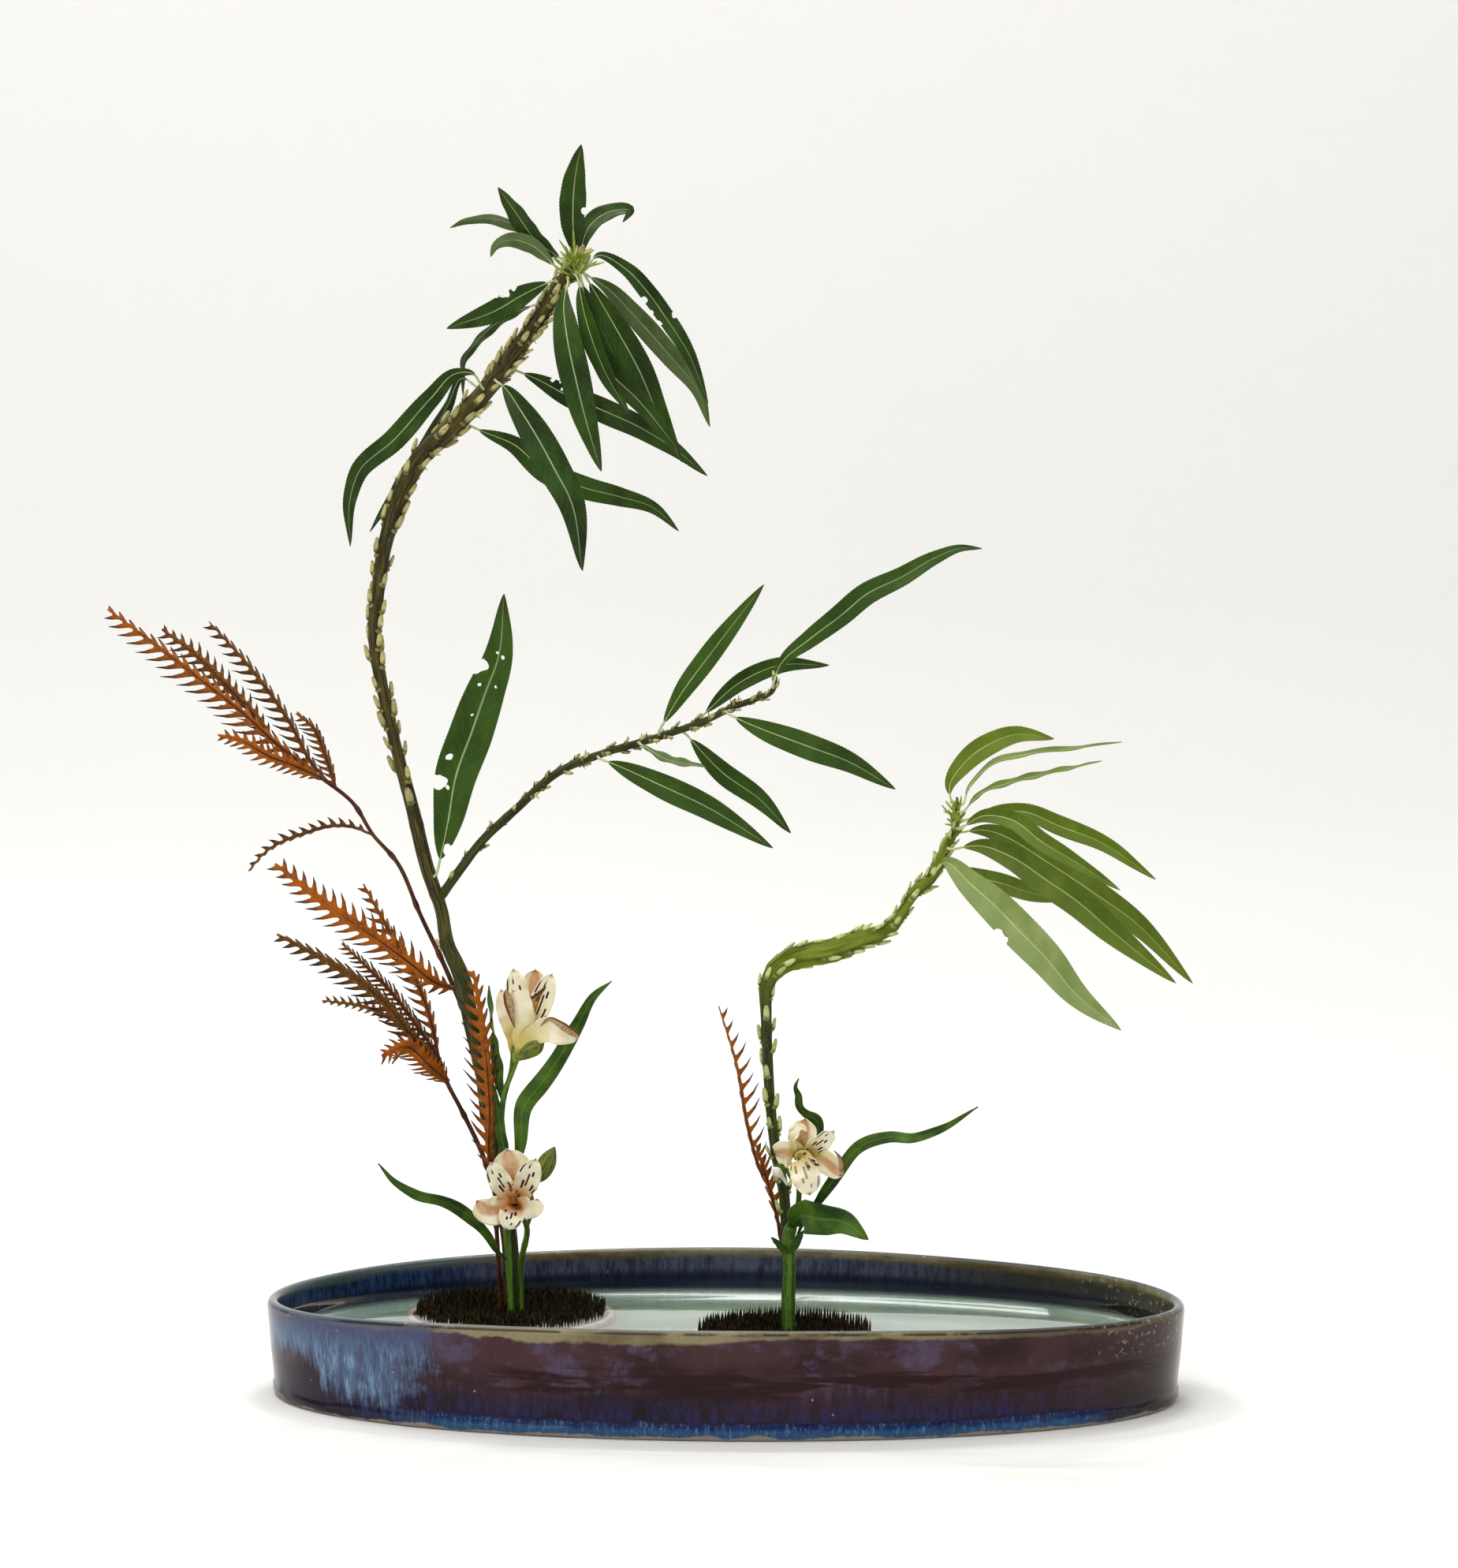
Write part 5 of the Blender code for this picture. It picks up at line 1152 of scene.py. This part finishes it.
def add_frond(bm, frond, seed):
    points, pitch, width, left, left_fold, right, right_fold, tone = frond
    path = smooth_path(points, pitch / 4 * MM)
    places = stations(path)
    rows = len(path) - 1
    chance = random.Random(seed)
    new = bmesh.new()
    edge_share, tone_layer = new.verts.layers.float.new("edge_share"), new.verts.layers.float.new("tone")
    own = new.verts.layers.float_vector.new("stem_place")
    bmesh.ops.create_grid(new, x_segments=2, y_segments=rows, size=1)
    grid = {(round(vert.co.x), round((vert.co.y + 1) / 2 * rows)): vert for vert in new.verts}
    for (across, row), vert in grid.items():
        centre, heading, side, front, _, run = places[row]
        share = row / rows
        half = width / 2 * MM * min(1, 0.45 + 3 * share, 0.25 + 2.0 * (1 - share))
        vert.co = centre + side * across * half - front * abs(across) * half * 0.35
        vert[edge_share], vert[tone_layer], vert[own] = 0.3 * abs(across), tone, (across * half, 0, run)
    for way, full, fold in ((-1, left, left_fold), (1, right, right_fold)):
        row = 2 if way < 0 else 4
        while row < rows - 2:
            share = row / rows
            size = full * MM * min(1, 0.4 + 2.5 * share, 0.4 + 1.9 * (1 - share)) * chance.uniform(0.86, 1.12)
            _, heading, side, front, _, _ = places[row + 1]
            fold_now = radians(fold + chance.uniform(-8, 8))
            out = side * way * cos(fold_now) - front * sin(fold_now)
            verts = [grid[(way, row + i)] for i in range(4 if pitch < 7.8 else 3)]
            edges = [new.edges.get(pair) for pair in zip(verts, verts[1:])]
            middle, twist = (verts[0].co + verts[-1].co) / 2, chance.uniform(-0.1, 0.25)
            for reach, narrow, bend, shade in TOOTH_STEPS:
                made = bmesh.ops.extrude_edge_only(new, edges=edges)["geom"]
                edges = [part for part in made if isinstance(part, bmesh.types.BMEdge)]
                tip = middle + (out * 0.76 + heading * 0.56 * bend + front * twist * reach) * size * reach
                for vert in (part for part in made if isinstance(part, bmesh.types.BMVert)):
                    if reach < 0.5:
                        offset = vert.co - middle
                    else:
                        offset = vert.co - last
                    vert.co = tip + offset * (narrow if reach < 0.5 else narrow / before)
                    vert[edge_share] = shade
                last, before = tip, narrow
            row += 4
    new.normal_update()
    pour(bm, new)


def rust_leather():
    material, tree, shader = new_material("rust_frond_leather", Roughness=0.6, Specular_IOR_Level=0.2)
    share = carried(tree, "edge_share")
    tone = carried(tree, "tone")
    tint = blotches(tree, object_place(tree), 130, 4, 0.65)
    fine = blotches(tree, object_place(tree), 900, 3, 0.6)
    body = coats(tree, srgb(172, 88, 4),
        (srgb(78, 56, 16), (tone, 0, 0.9)),
        (srgb(100, 48, 6), (tint, 0.4, 0.68, 0, 0.75)),
        (srgb(206, 122, 24), (fine, 0.45, 0.7, 0, 0.5)))
    limit = maths(tree, "ADD", share, times(tree, tone, 0.12))
    colour = mix(tree, span(tree, limit, 0.42, 0.85), body, srgb(26, 14, 6))
    colour_to(tree, shader, colour)
    bump(tree, shader, maths(tree, "ADD", tint, fine), 0.0004, 0.6)
    return material


rust = rust_leather()
rust_stem = stem_material("rust_wiry_stem", srgb(40, 18, 6), srgb(118, 58, 16), srgb(150, 92, 40), 1.8, 0.55)
for cad_node, (stem, fronds) in SPRAYS.items():
    wire = bmesh.new()
    path = smooth_path(stem, 2.2 * MM)
    nodes = [(run * MM, 0, 0, 0.45) for run in range(38, 400, 31)]
    add_tube(wire, path, 10, ridged(nodes, 0.12))
    for frond in fronds:
        base = [(*point, 0.75 - 0.5 * i / len(frond[0])) for i, point in enumerate(frond[0])]
        add_tube(wire, smooth_path(base, 4 * MM), 6)
    piece(wire, cad_node + "_stem", [rust_stem], [cad_node])
    sheet = bmesh.new()
    for number, frond in enumerate(fronds):
        add_frond(sheet, frond, 20 + number)
    blade = piece(sheet, cad_node + "_fronds", [rust], sharp=50, outward=False)
    shell = blade.modifiers.new("thickness", "SOLIDIFY")
    shell.thickness, shell.offset = 0.8 * MM, 0


# ---------------------------------------------------------------- alstroemeria stems and buds
# Smooth juicy stems, thickest where they were cut, with unopened buds on short stalks. Each bud is
# a ribbed green spindle whose tip is just colouring.
FLOWER_STEMS = {
    "tall_flower_stem": ([(-118, 12, 22.6, 2.2), (-120, 10, 71, 2.1), (-121, 9, 89, 2.0), (-123, 4, 133, 1.8),
                          (-122, -2, 160, 1.7), (-116, -9, 182, 1.5), (-114.6, -10, 188.7, 2.1),
                          (-113.4, -11, 193.3, 2.5), (-112, -12, 197.3, 1.2)], 66),
    "low_flower_stem": ([(-112, 14, 22.6, 1.6), (-113, 9, 71, 1.6), (-109, 0, 92, 1.6), (-112, -9, 101, 1.4),
                         (-114.3, -13, 105.3, 2.3), (-113.7, -18, 108.1, 1.4)], 60),
    "right_flower_stem": ([(36, -36, 22.6, 3.4), (37, -36, 80, 3.5), (37, -36, 96, 3.4), (41, -39, 107, 1.8),
                           (42.7, -44, 122.4, 1.6), (43.1, -47, 133.9, 2.2), (43.5, -50, 141.7, 1.2)], 76)}
SIDE_STALKS = [[(-121.7, -3, 159, 1.3), (-120.6, -8, 168, 1.4), (-117.6, -10, 175, 1.4), (-112.9, -12, 186.6, 1.2)],
               [(-109, 0, 92, 1.1), (-105, -6, 106, 1.2), (-105.9, -8, 111.9, 1.2), (-102.8, -10, 118.6, 1.1)]]
CLOSED_BUDS = {
    "tall": [(-112.9, -12, 186.6, 1.2), (-109.3, -15, 189.7, 3.0), (-105.8, -17, 192.2, 4.1),
             (-101.8, -19, 194.8, 4.2),
             (-98.9, -20, 197.5, 2.0), (-97.2, -21, 199.0, 0.4)],
    "low": [(-102.8, -10, 118.6, 1.1), (-100.2, -11, 122.7, 3.8), (-97.8, -12, 127.5, 5.0),
            (-95.5, -13, 132.5, 4.4),
            (-93.4, -13, 136.6, 2.0), (-92.4, -13, 138.6, 0.5)]}


def bud_skin_green():
    """Olive-green ribs from the bud's own place, browner towards the tip."""
    material, tree, shader = new_material("alstroemeria_bud_green", Roughness=0.45, Specular_IOR_Level=0.3)
    own, skin = stem_marks(tree, 0.6)
    run = node(tree, "SeparateXYZ", {"Vector": own}).outputs["Z"]
    colour = coats(tree, srgb(62, 76, 12),
        (srgb(132, 144, 58), (skin["Streak"], 0.35, 0.62)),
        (srgb(100, 76, 30), (skin["Mottle"], 0.5, 0.7, 0, 0.45)))
    colour_to(tree, shader, mix(tree, span(tree, run, 0.014, 0.021, 0, 0.6), colour, srgb(74, 60, 26)))
    bump(tree, shader, skin["Streak"], 0.0003, 0.6)
    return material


flower_stem_skin = stem_material("alstroemeria_stem", srgb(40, 76, 4), srgb(104, 142, 40), srgb(140, 168, 76), 0.7,
                                 0.42, srgb(56, 76, 14), (0.012, 0.0))
green_bud_skin = bud_skin_green()
for cad_node, (stem, knot) in FLOWER_STEMS.items():
    stalks = bmesh.new()
    swell = ridged([(knot * MM, 0, 0, 0.14), (33 * MM, 0, 0, 0.06)], 0.05)
    add_tube(stalks, smooth_path(stem, 1.5 * MM), 16, swell)
    piece(stalks, cad_node + "_skin", [flower_stem_skin], [cad_node])
stalks = bmesh.new()
for stalk in SIDE_STALKS:
    add_tube(stalks, smooth_path(stalk, 1.5 * MM), 12)
piece(stalks, "bud_stalks", [flower_stem_skin])
for which, bud in CLOSED_BUDS.items():
    spindle = bmesh.new()
    add_tube(spindle, smooth_path(bud, 0.9 * MM), 24,
             lambda x, y, run: 1 + 0.09 * abs(x * y * (x * x - y * y)) ** 0.5 * 2 - 0.05)
    piece(spindle, which + "_closed_bud", [green_bud_skin])
cut_bud = bmesh.new()
add_tube(cut_bud, smooth_path([(36.3, -42, 123.5, 0.9), (33.4, -45, 128.2, 1.3), (31.8, -46.5, 130.2, 2.3),
                               (30.2, -47.5, 132.0, 2.5), (28.8, -48, 133.6, 0.9)], 0.8 * MM), 14)


# ---------------------------------------------------------------- alstroemeria flowers
# Six thin tepals in a tube that opens wide: three broad outer ones, cream with a peach middle, and
# three narrower inner ones, yellow at the throat and ticked with maroon. Stamens curve out.

# A tepal: (points from the throat to the tip, width, roll at the foot, roll at the tip), kind
# (0 outer, 1 inner), cup. Then the anthers' places.
FLOWERS = {
    "tall_flower": [
        (([(-115, -11, 183.5), (-112.4, -14.5, 195), (-110.1, -19, 205.4), (-110, -22, 214.1), (-111.8, -23, 221.4),
           (-114.9, -22, 226.5)], 14, 5, 5), 0.5, -0.45),
        (([(-115.2, -10, 183.5), (-115.2, -11, 198), (-117.1, -13, 210.1), (-119.3, -14, 218),
           (-121.7, -14, 225.7)],
          12, 0, -10), 0.5, 0.3),
        (([(-114.8, -10, 183.5), (-112.4, -7, 203.8), (-112.6, -5, 214.7), (-113.9, -2, 225.4), (-116.1, 0, 235.5)],
          13, 0, 0), 1, 0.3),
        (([(-114.6, -10, 183.5), (-109.6, -5, 204.7), (-106.3, -1, 216.4), (-104.6, 2, 226), (-104.1, 3, 235.1)],
          18, 0, 0), 0, 0.3),
        (([(-114.6, -11, 183.5), (-107.8, -13, 200.2), (-102.8, -13, 210.2), (-98, -11, 222.2), (-93.7, -9, 234)],
          13, 0, 10), 1, 0.35),
        (([(-114.6, -12, 184), (-108.4, -17, 197), (-101, -21, 202.4), (-94.2, -24, 205.1), (-87.4, -26, 202.9),
           (-77.9, -25, 200.5)], 13.5, 20, -10), 0.5, 0.25)],
    "low_flower": [
        (([(-113.8, -17, 107), (-113.2, -29, 117.6), (-113.9, -35, 129.3),
           (-116.7, -36, 141.2)], 22, 0, 0), 0, 0.12),
        (([(-114.5, -17, 107), (-118.1, -30, 108.6), (-122.6, -36, 107.4), (-127.8, -37, 107.7),
           (-133.4, -36, 112.4)], 16, 0, 0), 0, 0.2),
        (([(-112.5, -17, 107), (-107.9, -30, 109), (-103.8, -35, 108.7), (-100.7, -36, 110.6),
           (-100.2, -35, 113.6)], 12.5, 0, 0), 0.5, 0.2),
        (([(-114.1, -17, 107), (-116.7, -32, 116.6), (-120.7, -38, 124.6),
           (-125.3, -40, 134.2)], 12.5, 0, 0), 1, 0.3),
        (([(-112.7, -17, 107), (-108.3, -32, 117.5), (-104.1, -38, 127),
           (-100.3, -40, 136.7)], 13.5, 0, 0), 1, 0.3),
        (([(-113.5, -17, 107), (-114, -31, 105.4), (-115, -37, 102.3), (-117.2, -38, 97)], 14, 0, 0), 1, 0.2)],
    "right_flower": [
        (([(44.2, -47, 139), (44.8, -56, 150), (45.9, -60, 156.5), (46.6, -60, 162.3)], 16, 0, 15), 0, 0.3),
        (([(42.8, -47, 139), (39.1, -58, 143.7), (35.2, -60, 143.6), (29.8, -57, 142.7)], 15.5, 0, 20), 0, 0.2),
        (([(45, -47, 139), (51.8, -58, 142.3), (58.5, -62, 138.6), (66.2, -60, 131.2)], 12, 0, 10), 0, 0.3),
        (([(42.8, -47, 139), (40.6, -60, 147.7), (41.1, -64, 153.4), (44, -64, 157.4), (48.3, -62, 156.1)],
          5.5, 40, 50), 0.5, 0.5),
        (([(45, -47, 139), (51.1, -60, 147.4), (57.1, -66, 152.4), (62.2, -66, 156.8)], 10.5, -10, -20), 1, 0.3),
        (([(43.6, -47, 139), (44.8, -64, 139.5), (47.2, -70, 133.2), (49.3, -70, 122.4)], 16, 0, 0), 0.78, 0.25)],
}
# The turned-over margin of two outer tepals, olive with a maroon edge.
MARGINS = [
    ([(-113.6, -20, 205), (-114.8, -23.5, 212.1), (-116, -25, 218.9), (-117.2, -25, 223.8), (-117.7, -24, 226.7)],
     5, 0, 0),
    ([(-99, -25, 206.8), (-93.6, -27.5, 211), (-87.6, -29, 208.2), (-82.7, -29, 204.9),
      (-77.9, -27, 201.5)], 4.2, 0, 0),
    ([(62.1, -63, 145.4), (64.7, -64, 142.6), (66.3, -63, 138.8), (65.8, -61, 133.4)], 3, 0, 0)]
STAMENS = {
    "tall_flower": [(-105, -16, 220.5), (-102.9, -16, 222.1), (-101, -15, 223.3), (-99.7, -15, 224.2),
                    (-98.2, -14, 225.6), (-101.3, -17, 220.7)],
    "low_flower": [(-114.9, -34, 118.4), (-111.3, -36, 117.6), (-113.4, -36, 115.2)],
    "right_flower": [(48.7, -73, 138.5), (53.1, -73, 139.5), (51.2, -72, 141.5), (46.6, -70, 145)],
}


def tepal_half_width(share, width):
    """A narrow claw that opens into a broad round blade with a small point."""
    blade = min(1, 0.10 + 1.5 * share) * max(0, 1 - (max(0, share - 0.66) / 0.32) ** 2.3) ** 0.5
    return max(width / 2 * blade, 0.3 * MM)


def blade_line_marks(group, inside):
    """Fine lines along a blade and dashes of uneven length in columns, both from its UV."""
    split = node(group, "SeparateXYZ", {"Vector": inside["Blade"]}).outputs
    waver = blotches(group, inside["Blade"], 6, 2, 0.5)
    u = maths(group, "ADD", split["X"], times(group, maths(group, "SUBTRACT", waver, 0.5), 0.06))
    line = span(group, off_middle(group, times(group, u, inside["Lines"])), 0.22, 0.02)
    column = times(group, u, inside["Columns"])
    whole = maths(group, "FLOOR", column)
    shift = node(group, "TexWhiteNoise", {"W": whole}, noise_dimensions="1D").outputs["Value"]
    off = off_middle(group, column)
    step = maths(group, "MULTIPLY_ADD", split["Y"], inside["Dashes"], times(group, shift, 3.0))
    cell = node(group, "CombineXYZ", {"X": whole, "Y": maths(group, "FLOOR", step)}).outputs[0]
    chance = node(group, "TexWhiteNoise", {"Vector": cell}, noise_dimensions="3D").outputs["Value"]
    beat = off_middle(group, step)
    reach = maths(group, "MULTIPLY_ADD", chance, 0.5, -0.12)
    dash = times(group, span(group, off, 0.33, 0.25),
                 span(group, maths(group, "SUBTRACT", reach, beat), 0.0, 0.05))
    across = maths(group, "ABSOLUTE", maths(group, "MULTIPLY_ADD", split["X"], 2.0, -1.0))
    return {"Line": line, "Dash": dash, "Across": across, "Along": split["Y"]}


blade_lines = new_group("blade_lines", {"Blade": "Vector", "Lines": "Float", "Columns": "Float", "Dashes": "Float"},
                        blade_line_marks)


def blade_marks(tree, lines, columns, dashes):
    return node(tree, "Group", {"Blade": blade_place(tree), "Lines": lines,
                                "Columns": columns, "Dashes": dashes}, node_tree=blade_lines).outputs


def tepal_skin(name, inner_face, throat_colour=srgb(222, 200, 104)):
    material, tree, shader = new_material(name, Roughness=0.55, Specular_IOR_Level=0.3, Subsurface_Weight=0.12,
                                          Subsurface_Radius=(0.004, 0.003, 0.001))
    marks = blade_marks(tree, 13.0, 7.0, 3.2)
    kind = carried(tree, "tone")
    tint = blotches(tree, object_place(tree), 160, 4, 0.6)
    cream = mix(tree, span(tree, tint, 0.35, 0.65), srgb(255, 247, 218), srgb(250, 236, 192))
    middle = span(tree, maths(tree, "MULTIPLY_ADD", marks["Along"], -0.5, marks["Across"]), 0.22, -0.15)
    peach = times(tree, middle, span(tree, marks["Along"], 0.28, 0.5), span(tree, tint, 0.25, 0.6, 0.6, 1.0))
    outer = coats(tree, cream, (srgb(206, 146, 98), 0.9, peach, (kind, 0.4, 0.1)))
    inner = mix(tree, 0.4, cream, srgb(255, 250, 226))
    colour = mix(tree, kind, outer, inner)
    throat = mix(tree, span(tree, marks["Along"], 0.08, 0.22), srgb(130, 140, 36), throat_colour)
    colour = coats(tree, colour,
        (throat, (marks["Along"], 0.74, 0.30, 0, 0.95)),
        (srgb(186, 160, 100), marks["Line"], 0.12))
    if inner_face:
        window = times(tree, span(tree, marks["Along"], 0.24, 0.30), span(tree, marks["Along"], 0.93, 0.86),
                       span(tree, marks["Across"], 0.95, 0.88))
        colour = coats(tree, colour, (srgb(22, 4, 6), 1.0, marks["Dash"], window, (kind, 0.6, 0.9)))
    else:
        colour = mix(tree, times(tree, middle, 0.25), colour, srgb(190, 180, 112))
    tip = times(tree, span(tree, marks["Along"], 0.94, 0.985), span(tree, marks["Across"], 1.0, 0.3))
    colour = mix(tree, times(tree, tip, 0.85), colour, srgb(122, 62, 42))
    colour_to(tree, shader, colour)
    height = maths(tree, "ADD", marks["Line"], times(tree, tint, 0.8))
    bump(tree, shader, height, 0.0003, 0.5)
    return material


def margin_skin():
    material, tree, shader = new_material("tepal_margin", Roughness=0.5)
    marks = blade_marks(tree, 5.0, 3.0, 2.0)
    tint = blotches(tree, object_place(tree), 400, 3, 0.6)
    colour = coats(tree, srgb(196, 170, 116),
        (srgb(150, 124, 66), (tint, 0.35, 0.65)),
        (srgb(116, 92, 36), marks["Line"], 0.5))
    across = node(tree, "SeparateXYZ", {"Vector": blade_place(tree)}).outputs["X"]
    colour_to(tree, shader, mix(tree, span(tree, across, 0.34, 0.16), colour, srgb(112, 34, 18)))
    bump(tree, shader, marks["Line"], 0.0003, 0.6)
    return material


def grain_skin(name, dark, light):
    material, tree, shader = new_material(name, Roughness=0.7)
    grain = blotches(tree, object_place(tree), 2200, 3, 0.6)
    colour_to(tree, shader, mix(tree, span(tree, grain, 0.35, 0.65), dark, light))
    bump(tree, shader, grain, 0.0003, 0.8)
    return material


cream_faces = [tepal_skin("tepal_inside", True), tepal_skin("tepal_outside", False)]
orange_faces = [tepal_skin("orange_throat_inside", True, srgb(226, 150, 62)), cream_faces[1]]
margin = margin_skin()
filament_skin = grain_skin("flower_filament", srgb(170, 96, 34), srgb(226, 178, 96))
anther_brown = grain_skin("anther_pollen", srgb(44, 30, 8), srgb(104, 76, 30))
anther_orange = grain_skin("anther_orange", srgb(120, 62, 18), srgb(190, 120, 60))
piece(cut_bud, "cut_bud", [grain_skin("cut_bud_cream", srgb(232, 222, 196), srgb(255, 252, 240))])
for number, (cad_node, tepals) in enumerate(FLOWERS.items()):
    faces = orange_faces if cad_node == "low_flower" else cream_faces
    for order, (leaf, kind, cup) in enumerate(tepals):
        add_blade("%s_tepal_%d" % (cad_node, order + 1), cad_node if order == 0 else None, leaf, faces,
                  columns=14, fold=cup, wave=1.1, saw=0, profile=tepal_half_width, rib=0,
                  seed=number * 10 + order, shades=(kind, kind))
    throat = Vector(tepals[0][0][0][0]) * MM
    threads, tips = bmesh.new(), bmesh.new()
    for end in STAMENS[cad_node]:
        end = Vector(end) * MM
        reach = end - throat
        line = [throat, throat + reach * 0.5 + Vector((0, -2, 1)) * MM, end]
        add_tube(threads, smooth_path([Vector((*(point / MM), 0.55)) for point in line], 1.2 * MM), 6)
        along = Vector((reach.x, 0.3 * reach.y, 0.6 * reach.z)).normalized()
        add_bud(tips, end - along * 1.2 * MM, Vector((0, -1, 0)), along, 4.2 * MM, 1.8 * MM, radians(15), 0.4)
    piece(threads, cad_node + "_filaments", [filament_skin])
    piece(tips, cad_node + "_anthers", [anther_orange if cad_node == "low_flower" else anther_brown])
for number, leaf in enumerate(MARGINS, 1):
    add_blade("tepal_margin_%d" % number, None, leaf, [margin, margin], columns=6, fold=0.3,
              wave=0.3, saw=0, profile=tepal_half_width, rib=0, seed=number)


# ---------------------------------------------------------------- alstroemeria strap leaves
# Soft strap leaves with fine parallel veins. This flower's leaves turn over in their first third, so the paler
# underside comes uppermost; here each is rolled evenly from foot to tip, and only the tall flower's left leaf turns
# right over.
STRAP_LEAVES = {
    "tall_flower_leaf_left": (
        [(-121.5, 0, 160), (-124.2, 1, 172), (-125.6, 2, 190), (-127.5, 3, 204), (-130, 5, 225)], 8, -40, 150),
    "tall_flower_leaf_right": (
        [(-119, 2, 117), (-112, -5, 136), (-109, -10, 161), (-100, -12, 173), (-89, -14, 189),
         (-79, -18, 207), (-70, -23, 223), (-60, -28, 232)], 11, 20, 10),
    "low_flower_leaf": (
        [(-121, 7, 73), (-125, 1, 78), (-130, -6, 88), (-141, -15, 102), (-154, -22, 110),
         (-167, -26, 114), (-178, -30, 121), (-187, -34, 132)], 8, 25, 10),
    "right_flower_leaf_long": (
        [(41, -35, 94), (46, -37, 105), (52, -43, 113), (59, -50, 124), (66, -54, 135), (76, -58, 147),
         (92, -62, 153), (104, -66, 153), (118, -70, 158), (139, -78, 172)], 7.5, 30, 20),
    "right_flower_leaf_broad": (
        [(38, -40, 100), (43, -52, 108), (55, -66, 109), (68, -76, 109), (81, -84, 101)], 19, 0, 0),
    "right_flower_leaf_curled": (
        [(44, -42, 122), (48, -38, 134), (52.5, -38, 150), (51.8, -40, 158.7), (46.8, -40, 161.7),
         (43.2, -41, 166.2),
         (42.3, -42, 172), (40.6, -44, 177), (42.3, -46, 182)], 8, 10, 40),
    "node_bract_left": ([(37, -39, 85), (33, -43, 90), (27.5, -44, 95)], 5, 10, 20),
    "node_bract_right": ([(38, -40, 86), (41, -43, 92), (45, -45, 99)], 5, 0, 20),
    "bud_bract": ([(37.5, -43, 127), (35.4, -46, 132.7), (32.5, -47, 133.6), (28.8, -47, 135.2)], 3, 10, 30),
    "blade_behind": ([(-119.5, 4, 118), (-120.4, 1, 128), (-122.6, -1, 143), (-125.1, -2, 160), (-129, -2, 177)],
                     6.5, 10, 20)}


def strap_half_width(share, width):
    along = min(max(share, 0.0), 1.0)
    return max(width / 2 * min(1, 0.16 + 2.4 * along) * (1 - along ** 3.2) ** 0.8, 0.35 * MM)


def strap_skin(name, dark, light, line, rough):
    material, tree, shader = new_material(name, Roughness=rough, Specular_IOR_Level=0.3)
    marks = blade_marks(tree, 15.0, 3.0, 2.0)
    tint = blotches(tree, object_place(tree), 60, 4, 0.6)
    colour = coats(tree, dark,
        (light, (tint, 0.35, 0.68)),
        (line, marks["Line"], 0.22),
        (line, (marks["Across"], 0.16, 0.03, 0, 0.4)),
        (srgb(92, 80, 40), (marks["Along"], 0.94, 1.0, 0, 0.6)))
    colour_to(tree, shader, colour)
    bump(tree, shader, maths(tree, "ADD", marks["Line"], tint), 0.0003, 0.6)
    return material


strap_faces = [strap_skin("strap_leaf_upper", srgb(26, 60, 2), srgb(80, 116, 20), srgb(112, 146, 54), 0.5),
               strap_skin("strap_leaf_underside", srgb(54, 88, 22), srgb(98, 136, 48), srgb(134, 162, 92), 0.55)]
for number, (cad_node, leaf) in enumerate(STRAP_LEAVES.items()):
    add_blade("blade_" + cad_node, cad_node if "leaf" in cad_node else None, leaf, strap_faces,
              fold=0.22, wave=0.8, saw=0, profile=strap_half_width, thickness=0.5, rib=0, seed=60 + number)
